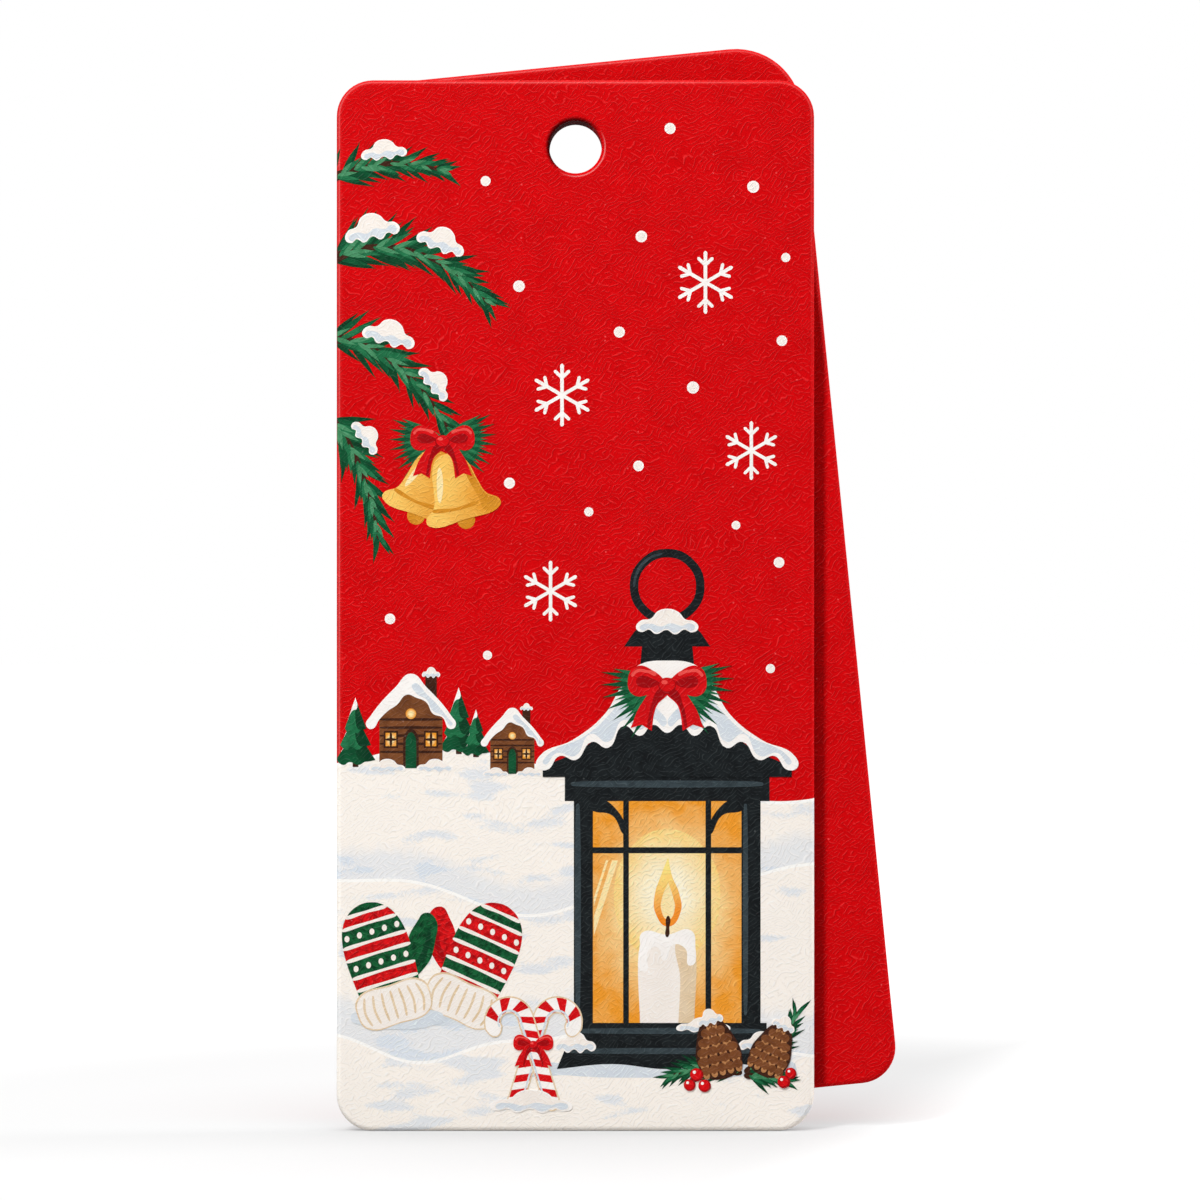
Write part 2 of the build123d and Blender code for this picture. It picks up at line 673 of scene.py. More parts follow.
class Box(NamedTuple):
    """The sides of an upright rectangle, in millimetres."""

    left: float
    low: float
    right: float
    high: float

    def crosses(self, other: "Box") -> bool:
        """Whether two boxes share any ground."""
        beside = self.right < other.left or other.right < self.left
        return not (beside or self.high < other.low or other.high < self.low)


@dataclass(frozen=True)
class Film:
    """One flat shape of ink, with any holes in it."""

    ink: Finish
    outlines: tuple[tuple[Knot, ...], ...]

    def box(self) -> Box:
        """The rectangle round the shape."""
        xs, ys, _ = zip(*self.outlines[0])
        return Box(min(xs), min(ys), max(xs), max(ys))


@dataclass
class PrintOrder:
    """Keeps each film a hair above those that it covers, so that no two that cross share a height."""

    first_mm: float = 0.008
    over_mm: float = 0.004
    beside_mm: float = 0.0008
    laid: list[tuple[Finish, Box, float]] = field(default_factory=list)

    def height(self, film: Film) -> float:
        """Finds a film's place in the stack and keeps it.

        Args:
            film: The next film that is printed.

        Returns:
            Height of its top above the sheet in millimetres.
        """
        box = film.box()
        crossed = [(ink, top) for ink, other, top in self.laid if box.crosses(other)]
        height = max([self.first_mm] + [top + self.over_mm for ink, top in crossed if ink != film.ink])
        taken = [top for ink, top in crossed if ink == film.ink]
        while any(abs(height - top) < self.beside_mm / 2 for top in taken):
            height += self.beside_mm
        self.laid.append((film.ink, box, height))
        return height


@dataclass
class Motif:
    """A figure of the printed picture: films of ink, drawn in millimetres about the figure's own foot."""

    name: str
    x: float
    y: float
    turn: float = 0.0
    size: float = 1.0
    films: list[Film] = field(default_factory=list, init=False)

    sunk_mm = 0.03
    point_mm = 0.01
    steps_per_knot = 7
    roll_mm = 0.55
    trim_mm = 0.05
    merge_mm = 0.0003
    cuts_over_roll = (0.0, 0.16, 0.29, 0.39, 0.46)

    def draw(self) -> None:
        """Draws the motif's films, each over those before it."""
        raise NotImplementedError

    def placed(self, point: tuple) -> Knot:
        """Where a point of the motif comes on the leaf."""
        right, up = turned(point[0], point[1], self.turn)
        return Knot(self.x + right * self.size, self.y + up * self.size, *point[2:])

    def fill(self, ink: Finish, *outlines: Sequence[tuple]) -> None:
        """Fills an outline with ink.

        Args:
            ink: The ink.
            outlines: Points round the shape, with SHARP added at a corner, then round any holes in it.
        """
        self.films.append(Film(ink, tuple(tuple(self.placed(p) for p in outline) for outline in outlines)))

    def polygon(self, ink: Finish, outline: Sequence[Point]) -> None:
        """Fills an outline that is all corners."""
        self.fill(ink, [(x, y, SHARP) for x, y in outline])

    def block(self, ink: Finish, left: float, low: float, right: float, high: float) -> None:
        """Fills an upright rectangle."""
        self.polygon(ink, [(left, low), (right, low), (right, high), (left, high)])

    def disc(self, ink: Finish, x: float, y: float, across: float, up: float = 0.0) -> None:
        """Fills an ellipse of this width and height, or a circle where no height is given."""
        self.fill(ink, oval(x, y, across, up or across))

    def stroke(self, ink: Finish, path: Sequence[Point], *widths: float) -> None:
        """Draws a brush stroke along a path.

        Args:
            ink: The ink.
            path: Points along the middle of the stroke.
            widths: Width at the start, then at even steps along the path; 0 gives a pointed end.
        """
        left: list[tuple] = []
        right: list[tuple] = []
        last = len(path) - 1
        for i, (x, y) in enumerate(path):
            before = path[max(i - 1, 0)]
            after = path[min(i + 1, last)]
            along = Vector((after[0] - before[0], after[1] - before[1])).normalized()
            share = i / last * (len(widths) - 1)
            low = min(int(share), max(len(widths) - 2, 0))
            high = min(low + 1, len(widths) - 1)
            half = (widths[low] + (widths[high] - widths[low]) * (share - low)) / 2
            if half < self.point_mm:
                left.append((x, y, SHARP))
                continue
            if i == 0:
                right.append((x - along.x * half, y - along.y * half))
            left.append((x - along.y * half, y + along.x * half))
            right.append((x + along.y * half, y - along.x * half))
            if i == last:
                left.append((x + along.x * half, y + along.y * half))
        self.fill(ink, left + right[::-1])

    def build(self, order: PrintOrder) -> bpy.types.Object:
        """Turns the films into one thin printed piece on the front leaf.

        Args:
            order: What is already printed.

        Returns:
            The piece.
        """
        self.draw()
        low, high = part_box("front_face_sheet")
        side = high.x / MM
        bpy.ops.object.select_all(action="DESELECT")
        for film in self.films:
            shape = self.flat_curve(film, order.height(film))
            shape.select_set(True)
            bpy.context.view_layer.objects.active = shape
        bpy.ops.object.convert(target="MESH")
        bpy.ops.object.transform_apply(location=True, rotation=True, scale=True)
        for shape in bpy.context.selected_objects:
            self.map_ink(shape.data)
        self.close(side)
        bpy.ops.object.join()
        piece = bpy.context.object
        piece.name = self.name
        piece.data.name = self.name
        self.roll(piece, side)
        piece.rotation_euler = (math.pi / 2, 0.0, 0.0)
        piece.scale = (MM, MM, MM)
        piece.location = (0.0, low.y, 0.0)
        bpy.ops.object.transform_apply(location=True, rotation=True, scale=True)
        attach(piece, "front_leaf")
        log.info("printed %s with %d films of ink", self.name, len(self.films))
        return piece

    def flat_curve(self, film: Film, top: float) -> bpy.types.Object:
        """Draws a film as a filled flat curve on the drawing board, in millimetres.

        Args:
            film: The film.
            top: Height of its top above the sheet.

        Returns:
            The curve's object.
        """
        drawing = bpy.data.curves.new(self.name, "CURVE")
        drawing.dimensions = "2D"
        drawing.fill_mode = "BOTH"
        drawing.resolution_u = self.steps_per_knot
        for outline in film.outlines:
            spline = drawing.splines.new("BEZIER")
            spline.use_cyclic_u = True
            spline.bezier_points.add(len(outline) - 1)
            for knot, point in zip(outline, spline.bezier_points):
                point.co = (knot.x, knot.y, 0.0)
                point.handle_left_type = point.handle_right_type = "VECTOR" if knot.sharp else "AUTO"
        drawing.extrude = (top + self.sunk_mm) / 2
        drawing.materials.append(film.ink.material())
        shape = bpy.data.objects.new(self.name, drawing)
        bpy.context.scene.collection.objects.link(shape)
        shape.location.z = (top - self.sunk_mm) / 2
        return shape

    def map_ink(self, mesh: bpy.types.Mesh) -> None:
        """Maps a shape's own width and height to 0 to 1, for inks that change across it.

        Args:
            mesh: The shape, on the drawing board.
        """
        xs = [v.co.x for v in mesh.vertices]
        ys = [v.co.y for v in mesh.vertices]
        left, low = min(xs), min(ys)
        width, height = max(xs) - left, max(ys) - low
        ink_map = mesh.uv_layers.get(INK_MAP) or mesh.uv_layers.new(name=INK_MAP)
        for loop in mesh.loops:
            place = mesh.vertices[loop.vertex_index].co
            ink_map.data[loop.index].uv = ((place.x - left) / width, (place.y - low) / height)

    def close(self, side: float) -> None:
        """Joins each selected film's faces at its edges, and trims the film at the leaf's sides.

        Args:
            side: Half the width of the leaf in millimetres.
        """
        bpy.ops.object.mode_set(mode="EDIT")
        bpy.ops.mesh.select_all(action="SELECT")
        bpy.ops.mesh.remove_doubles(threshold=self.merge_mm)
        for hand in (-1, 1):
            bpy.ops.mesh.select_all(action="SELECT")
            bpy.ops.mesh.bisect(
                plane_co=(hand * (side - self.trim_mm), 0.0, 0.0),
                plane_no=(hand, 0.0, 0.0),
                use_fill=True,
                clear_outer=True,
            )
        bpy.ops.mesh.select_all(action="SELECT")
        bpy.ops.mesh.dissolve_degenerate(threshold=self.merge_mm)
        bpy.ops.mesh.normals_make_consistent(inside=False)
        bpy.ops.object.mode_set(mode="OBJECT")

    def roll(self, piece: bpy.types.Object, side: float) -> None:
        """Bends the films over the leaf's rolled edges.

        Args:
            piece: The films, on the drawing board.
            side: Half the width of the leaf in millimetres.
        """
        flat = side - self.roll_mm
        bpy.ops.object.mode_set(mode="EDIT")
        for hand in (-1, 1):
            for cut in self.cuts_over_roll:
                bpy.ops.mesh.select_all(action="SELECT")
                bpy.ops.mesh.bisect(plane_co=(hand * (flat + cut), 0.0, 0.0), plane_no=(hand, 0.0, 0.0))
        bpy.ops.mesh.select_all(action="SELECT")
        bpy.ops.mesh.dissolve_degenerate(threshold=self.merge_mm)
        bpy.ops.object.mode_set(mode="OBJECT")
        for vertex in piece.data.vertices:
            over = min(max(abs(vertex.co.x) - flat, 0.0), self.roll_mm)
            vertex.co.z -= self.roll_mm - math.sqrt(self.roll_mm**2 - over**2)


OVAL_KNOTS = 8


def turned(x: float, y: float, degrees: float) -> Point:
    """A point turned about the origin, anticlockwise."""
    angle = math.radians(degrees)
    return x * math.cos(angle) - y * math.sin(angle), x * math.sin(angle) + y * math.cos(angle)


def moved(outline: Sequence[tuple], x: float, y: float, size: float = 1.0, lean: float = 0.0) -> list[tuple]:
    """An outline at another place, size and turn.

    Args:
        outline: Its points, which may have SHARP added.
        x: Where its origin goes across the drawing.
        y: Where its origin goes up the drawing.
        size: What it is scaled by.
        lean: Degrees that it is turned by, anticlockwise.

    Returns:
        The new points.
    """
    spun = [(*turned(p[0] * size, p[1] * size, lean), *p[2:]) for p in outline]
    return [(x + p[0], y + p[1], *p[2:]) for p in spun]


def mirrored(outline: Sequence[tuple]) -> list[tuple]:
    """An outline turned over from left to right."""
    return [(-point[0], *point[1:]) for point in reversed(outline)]


def both_sides(half: Sequence[tuple]) -> list[tuple]:
    """A whole outline from its right half, which starts and ends on the middle line."""
    return [*half, *mirrored(half[1:-1])]


def oval(x: float, y: float, across: float, up: float) -> list[Point]:
    """Points round an ellipse of this width and height."""
    ring = [math.tau * i / OVAL_KNOTS for i in range(OVAL_KNOTS)]
    return [(x + across / 2 * math.cos(a), y + up / 2 * math.sin(a)) for a in ring]


def on_curve(path: Sequence[Point], share: float) -> tuple[Vector, float]:
    """A point of a cubic curve.

    Args:
        path: Its start, its two handles and its end.
        share: How far along it, from 0 to 1.

    Returns:
        The point, and the curve's direction there in degrees.
    """
    start, pull, push, end = (Vector(p) for p in path)
    rest = 1 - share
    place = start * rest**3 + pull * 3 * rest**2 * share + push * 3 * rest * share**2 + end * share**3
    ahead = (pull - start) * rest**2 + (push - pull) * 2 * rest * share + (end - push) * share**2
    return place, math.degrees(math.atan2(ahead.y, ahead.x))


def patchy_ink(name: str, colour: str, second: str) -> Ink:
    """An ink that lies in small patches of two tones, as on leaves and wood."""
    return Ink(name, colour, second, mottle=0.8, mottle_per_mm=1.2)


def wool_ink(name: str, colour: str, second: str) -> Ink:
    """An ink in fine patches with the fibres plain in it, as on knitting."""
    return Ink(name, colour, second, mottle=1.0, mottle_per_mm=1.8, show=1.5)


WHITE = Ink("white_ink", "FAF6F2", "F2ECE6", mottle=0.6, show=0.4)
CREAM = Ink("cream_ink", "F4ECE4", "EEE5DB", mottle=0.6, show=0.4)
SNOW_BLUE = Ink("snow_shade_ink", "CFD7DF", "DDE1E6", mottle=0.7, show=0.4)
TAN = Ink("tan_ink", "E3CDAE", "D6B98F", mottle=0.6, show=0.5)
DEEP_GREEN = patchy_ink("deep_green_ink", "0C3822", "12492B")
GREEN = patchy_ink("green_ink", "145534", "0E4429")
LEAF_GREEN = patchy_ink("leaf_green_ink", "26734A", "195C39")
PALE_GREEN = patchy_ink("pale_green_ink", "4C8F66", "37794F")
BLACK = Ink("black_ink", "171A1C", "222729", mottle=0.7, mottle_per_mm=1.2, show=0.55)
SLATE = Ink("slate_ink", "3B464B", "2C3539", mottle=0.7, mottle_per_mm=1.2, show=0.6)
GOLD = Ink("gold_ink", "F8C665", "E1942B", Grade.ACROSS, mottle=0.5)
DEEP_GOLD = Ink("deep_gold_ink", "CB8420", "DA9530", mottle=0.7)
PALE_GOLD = Ink("pale_gold_ink", "FCE6B0", "F9D890", mottle=0.6)
GLOW = Ink("glow_ink", "FDEBB0", "EC982C", Grade.ROUND, mottle=0.4)
HALO = Ink("halo_ink", "FDF6DA", "F8D180", Grade.ROUND, mottle=0.3)
FLAME = Ink("flame_ink", "F2861C", "FDE486", Grade.UP, mottle=0.3)
RED = Ink("red_ink", "D81117", "C20C11", mottle=0.7)
DEEP_RED = Ink("deep_red_ink", "990A10", "AA0C12", mottle=0.7)
PALE_RED = Ink("pale_red_ink", "EE5650", "E4443F", mottle=0.6)
RED_WOOL = wool_ink("red_wool_ink", "E3171B", "A80B10")
GREEN_WOOL = wool_ink("green_wool_ink", "1B6339", "0A3820")
BROWN = patchy_ink("brown_ink", "43261A", "331C14")
WOOD = patchy_ink("wood_ink", "7E4C2C", "653A21")
PALE_WOOD = patchy_ink("pale_wood_ink", "B98252", "A56F43")


class Trim(Motif):
    """A motif with the small dressings that several figures share."""

    cushion = (
        (-1.0, 0.02), (-0.86, 0.38), (-0.52, 0.5), (-0.3, 0.86), (0.06, 0.98), (0.38, 0.8),
        (0.58, 0.46), (0.88, 0.34), (1.0, 0.02), (0.8, -0.2), (0.56, -0.06), (0.26, -0.3),
        (-0.02, -0.08), (-0.36, -0.28), (-0.6, -0.06), (-0.82, -0.18),
    )
    cushion_shade = (
        (-0.9, 0.06), (-0.56, 0.24), (-0.2, 0.1), (0.1, 0.26), (0.5, 0.14), (0.74, 0.26), (0.92, 0.06),
        (0.78, -0.13), (0.56, 0.0), (0.26, -0.23), (-0.02, -0.02), (-0.36, -0.21), (-0.6, 0.0), (-0.8, -0.11),
    )
    # Ink, outline, shrink, and lift as a share of the height.
    snow_layers = (
        (WHITE, cushion, 1.0, 0.0),
        (CREAM, cushion, 0.9, 0.04),
        (SNOW_BLUE, cushion_shade, 0.97, 0.0),
    )
    ribbon_loop = ((0.0, 0.1, SHARP), (0.9, 0.95), (2.3, 1.35), (2.9, 0.4), (2.5, -0.75), (1.1, -0.6))
    ribbon_fold = ((0.45, 0.1, SHARP), (1.2, 0.5), (2.1, 0.58), (2.25, 0.05), (1.3, -0.22))
    ribbon_gleam = ((0.8, 0.74), (1.6, 1.1), (2.3, 1.1), (2.62, 0.6), (2.2, 0.9), (1.5, 0.88))
    ribbon_tail = (
        (-0.1, -0.3), (0.8, -1.6), (1.15, -3.4, SHARP), (1.9, -2.95, SHARP),
        (2.7, -3.2, SHARP), (1.9, -1.4), (0.6, -0.1),
    )
    ribbon_tail_shade = (
        (0.1, -0.4), (0.9, -1.6), (1.3, -3.2, SHARP), (1.5, -3.1, SHARP), (1.2, -1.6), (0.5, -0.3),
    )
    ribbon_layers = (
        (RED, ribbon_tail),
        (DEEP_RED, ribbon_tail_shade),
        (RED, ribbon_loop),
        (DEEP_RED, ribbon_fold),
        (PALE_RED, ribbon_gleam),
    )
    # Ink, place, width and height.
    knot_discs = (
        (DEEP_RED, 0.0, -0.08, 1.3, 1.2),
        (RED, 0.0, 0.0, 1.15, 1.0),
        (PALE_RED, -0.2, 0.18, 0.45, 0.3),
    )
    # Ink, place and width, in widths of the berry.
    berry_discs = ((DEEP_RED, 0.0, 0.0, 1.0), (RED, -0.06, 0.06, 0.84), (WHITE, -0.18, 0.2, 0.24))
    needle_line = ((0.0, 0.0), (0.4, 0.02), (1.0, 0.05))
    needle_swell = (0.7, 1.7, 0.0)
    needle_mm = 0.16
    needle_per_length = 0.045
    # Ink, length of the needles, and degrees that they start further round.
    fan_layers = ((GREEN, 4.9, 0.0), (LEAF_GREEN, 4.1, 5.5))
    fan_needles = 7
    fan_step = 11.0
    stem_widths = (0.8, 0.55, 0.2)
    stem_steps = 6
    along_range = (0.1, 0.9)
    reach_range = (0.8, 1.1)
    sway_range = (-9, 9)
    tip_shorter = 0.35
    tip_closer = 0.4

    def snow(self, x: float, y: float, width: float, height: float, lean: float = 0.0) -> None:
        """A cushion of snow: a white rim, a cream body and a blue hollow below.

        Args:
            x: The middle of its foot.
            y: The height of its foot.
            width: Its width.
            height: Its height.
            lean: Degrees that it is turned by.
        """
        for ink, outline, shrink, lift in self.snow_layers:
            points = [(px * width / 2 * shrink, (py * shrink + lift) * height) for px, py in outline]
            self.fill(ink, moved(points, x, y, lean=lean))

    def bow(self, x: float, y: float, size: float) -> None:
        """A ribbon bow with two loops and two tails.

        Args:
            x: Its knot's place across.
            y: Its knot's height.
            size: 1 for a bow about 6 mm wide.
        """
        for ink, half in self.ribbon_layers:
            for outline in (half, mirrored(half)):
                self.fill(ink, moved(outline, x, y, size))
        for ink, right, up, across, tall in self.knot_discs:
            self.disc(ink, x + right * size, y + up * size, across * size, tall * size)

    def berry(self, x: float, y: float, width: float) -> None:
        """A round red berry of this width, with a dark side and a bright spot."""
        for ink, right, up, across in self.berry_discs:
            self.disc(ink, x + right * width, y + up * width, across * width)

    def needle(self, ink: Ink, x: float, y: float, degrees: float, length: float) -> None:
        """One fir needle, thickest in its middle.

        Args:
            ink: The ink.
            x: Where it leaves its twig across.
            y: The height where it leaves its twig.
            degrees: Its direction.
            length: Its length.
        """
        path = moved(self.needle_line, x, y, length, degrees)
        thick = self.needle_mm + self.needle_per_length * length
        self.stroke(ink, path, *(thick * swell for swell in self.needle_swell))

    def fir_fan(self, x: float, y: float, size: float, start: float) -> None:
        """Two sprays of fir needles, one to each side.

        Args:
            x: Where they are tied across.
            y: The height where they are tied.
            size: 1 for needles about 5 mm long.
            start: Degrees of the lowest needles from straight down.
        """
        for ink, length, more in self.fan_layers:
            for i in range(self.fan_needles):
                for hand in (-1, 1):
                    angle = hand * (start + more + self.fan_step * i) - 90.0
                    self.needle(ink, x, y, angle, length * size)

    def twig(self, path: Sequence[Point], needles: int, length: float, seed: int) -> None:
        """A fir twig: dark needles behind, a brown stem, and lighter needles in front.

        Args:
            path: Start, two handles and end of the stem.
            needles: Needles on each side of each of its layers.
            length: Length of the longest needles.
            seed: Sets the needles' unevenness.
        """
        chance = random.Random(seed)
        front_needles = needles * 2 // 3
        stem = [tuple(on_curve(path, i / self.stem_steps)[0]) for i in range(self.stem_steps + 1)]
        for ink, count, stretch, spread in (
            (DEEP_GREEN, needles, 1.0, 42),
            (GREEN, needles, 0.9, 34),
            (BROWN, 0, 0.0, 0),
            (LEAF_GREEN, front_needles, 0.74, 28),
            (PALE_GREEN, front_needles, 0.5, 24),
        ):
            if ink is BROWN:
                self.stroke(ink, stem, *self.stem_widths)
            for i in range(count):
                for hand in (-1, 1):
                    share = min((i + chance.uniform(*self.along_range)) / count, 1.0)
                    place, heading = on_curve(path, share)
                    longest = length * stretch * (1.0 - self.tip_shorter * share)
                    reach = longest * chance.uniform(*self.reach_range)
                    open_by = (spread + chance.uniform(*self.sway_range)) * (1.0 - self.tip_closer * share)
                    self.needle(ink, place.x, place.y, heading + hand * open_by, reach)


@dataclass
class Snowfall(Trim):
    """Six-armed flakes and round specks of snow over the sky."""

    # Place and reach.
    flakes: tuple[tuple[float, float, float], ...] = (
        (13.6, -14.2, 3.1), (-1.4, -26.0, 3.1), (18.4, -31.8, 2.9), (-2.6, -46.5, 3.0),
    )
    # Place and width.
    specks: tuple[tuple[float, float, float], ...] = (
        (18.6, -4.2, 1.25), (21.6, -20.3, 1.1), (6.9, -9.4, 1.2), (4.6, -19.4, 1.15), (12.3, -25.2, 1.25),
        (21.3, -43.5, 1.1), (6.6, -33.4, 1.1), (-5.9, -14.6, 1.2), (-6.9, -35.2, 1.15), (1.4, -38.2, 0.95),
        (22.0, -11.6, 0.95), (9.9, 1.9, 1.15), (-9.4, -3.6, 1.05), (16.8, -39.6, 0.9), (-9.2, -53.2, 0.95),
        (-19.4, -49.4, 1.1), (20.4, -54.6, 0.95),
    )
    arms: int = 6
    arm_width: float = 0.12
    barb_width: float = 0.112
    barb_start: float = 0.585
    barb_length: float = 0.31
    barb_lean: float = 46.0
    speck_heart: float = 0.7
    shaft = ((0.0, 0.0), (0.08, 0.0), (0.92, 0.0), (1.0, 0.0))

    def draw(self) -> None:
        """Draws every flake and speck."""
        for x, y, reach in self.flakes:
            for arm in range(self.arms):
                self.arm(x, y, reach, 90.0 + 360.0 / self.arms * arm)
        for x, y, width in self.specks:
            self.disc(WHITE, x, y, width)
            self.disc(CREAM, x, y, width * self.speck_heart)

    def arm(self, x: float, y: float, reach: float, heading: float) -> None:
        """One arm of a flake with its two barbs.

        Args:
            x: The flake's centre across.
            y: The flake's centre in height.
            reach: Length of the arm.
            heading: The arm's direction in degrees.
        """
        self.stroke(WHITE, moved(self.shaft, x, y, reach, heading), self.arm_width * reach)
        for hand in (-1, 1):
            barb = moved(self.shaft, self.barb_start, 0.0, self.barb_length, hand * self.barb_lean)
            self.stroke(WHITE, moved(barb, x, y, reach, heading), self.barb_width * reach)


@dataclass
class FirBough(Trim):
    """Snowy fir twigs that come in from the left edge."""

    # Start, two handles and end of the stem, needles, and their length.
    twigs: tuple[tuple[tuple[Point, ...], int, float], ...] = (
        (((-26.0, -12.0), (-20.0, -9.0), (-14.5, -10.5), (-9.0, -16.5)), 13, 5.2),
        (((-26.0, -20.0), (-21.0, -20.0), (-16.0, -24.0), (-12.5, -31.0)), 12, 5.0),
        (((-26.0, -28.0), (-23.5, -30.5), (-21.5, -35.0), (-20.6, -41.0)), 11, 4.6),
        (((-26.0, -3.5), (-22.0, -1.6), (-18.0, -1.2), (-13.6, -2.6)), 10, 4.2),
    )
    # Place, width, height and turn.
    drifts: tuple[tuple[float, float, float, float, float], ...] = (
        (-21.2, -9.2, 5.8, 2.3, 12.0), (-14.2, -10.4, 5.2, 2.1, -20.0), (-19.6, -20.2, 5.6, 2.2, -14.0),
        (-15.0, -25.0, 4.2, 1.8, -50.0), (-22.2, -30.6, 4.0, 1.7, -54.0), (-20.0, -0.9, 4.8, 1.7, 6.0),
    )
    first_seed: int = 3

    def draw(self) -> None:
        """Draws the twigs and the snow on them."""
        for seed, (path, needles, length) in enumerate(self.twigs, self.first_seed):
            self.twig(path, needles, length, seed)
        for drift in self.drifts:
            self.snow(*drift)


@dataclass
class Bells(Trim):
    """Two gold bells under a ribbon bow, hung from the fir."""

    # Degrees that each bell swings by, and how far along that line it is tied.
    hung: tuple[Pair, ...] = ((-20.0, 0.0), (17.0, -0.3))
    dress_size: float = 1.05
    bow_height: float = 0.2
    fan_height: float = 0.4
    fan_start: float = 48.0
    clapper_width: float = 1.7
    clapper_drop: float = -7.35
    band_mm: float = 0.28
    gleam_mm: tuple[float, ...] = (0.25, 0.6, 0.2)
    side = (
        (0.0, -0.8), (0.95, -1.0), (1.75, -2.1), (2.15, -3.9),
        (2.6, -5.4), (3.65, -6.4), (3.5, -6.95), (0.0, -7.25),
    )
    shade = (
        (0.8, -1.1), (1.65, -2.2), (2.05, -3.9), (2.5, -5.45), (3.45, -6.4), (3.3, -6.85),
        (2.1, -7.0), (1.75, -5.5), (1.35, -3.8), (1.15, -2.2),
    )
    band = ((-2.7, -5.7), (-0.6, -6.1), (1.5, -6.05))
    gleam = ((-1.0, -2.0), (-1.45, -3.6), (-1.9, -5.0))

    def draw(self) -> None:
        """Draws both bells and the bow that holds them, with fir tied in behind."""
        self.fir_fan(0.0, self.fan_height, self.dress_size, self.fan_start)
        for lean, drop in self.hung:
            self.bell(*turned(0.0, drop, lean), lean)
        self.bow(0.0, self.bow_height, self.dress_size)

    def bell(self, x: float, y: float, lean: float) -> None:
        """One bell that swings to a side from the bow.

        Args:
            x: Where it is tied across.
            y: The height where it is tied.
            lean: Degrees that it swings by.
        """
        def at(points: Sequence[tuple]) -> list[tuple]:
            """The points at the bell's place and swing."""
            return moved(points, x, y, lean=lean)

        self.fill(DEEP_GOLD, at(oval(0.0, self.clapper_drop, self.clapper_width, self.clapper_width)))
        self.fill(GOLD, at(both_sides(self.side)))
        self.fill(DEEP_GOLD, at(self.shade))
        self.stroke(DEEP_GOLD, at(self.band), self.band_mm)
        self.stroke(PALE_GOLD, at(self.gleam), *self.gleam_mm)


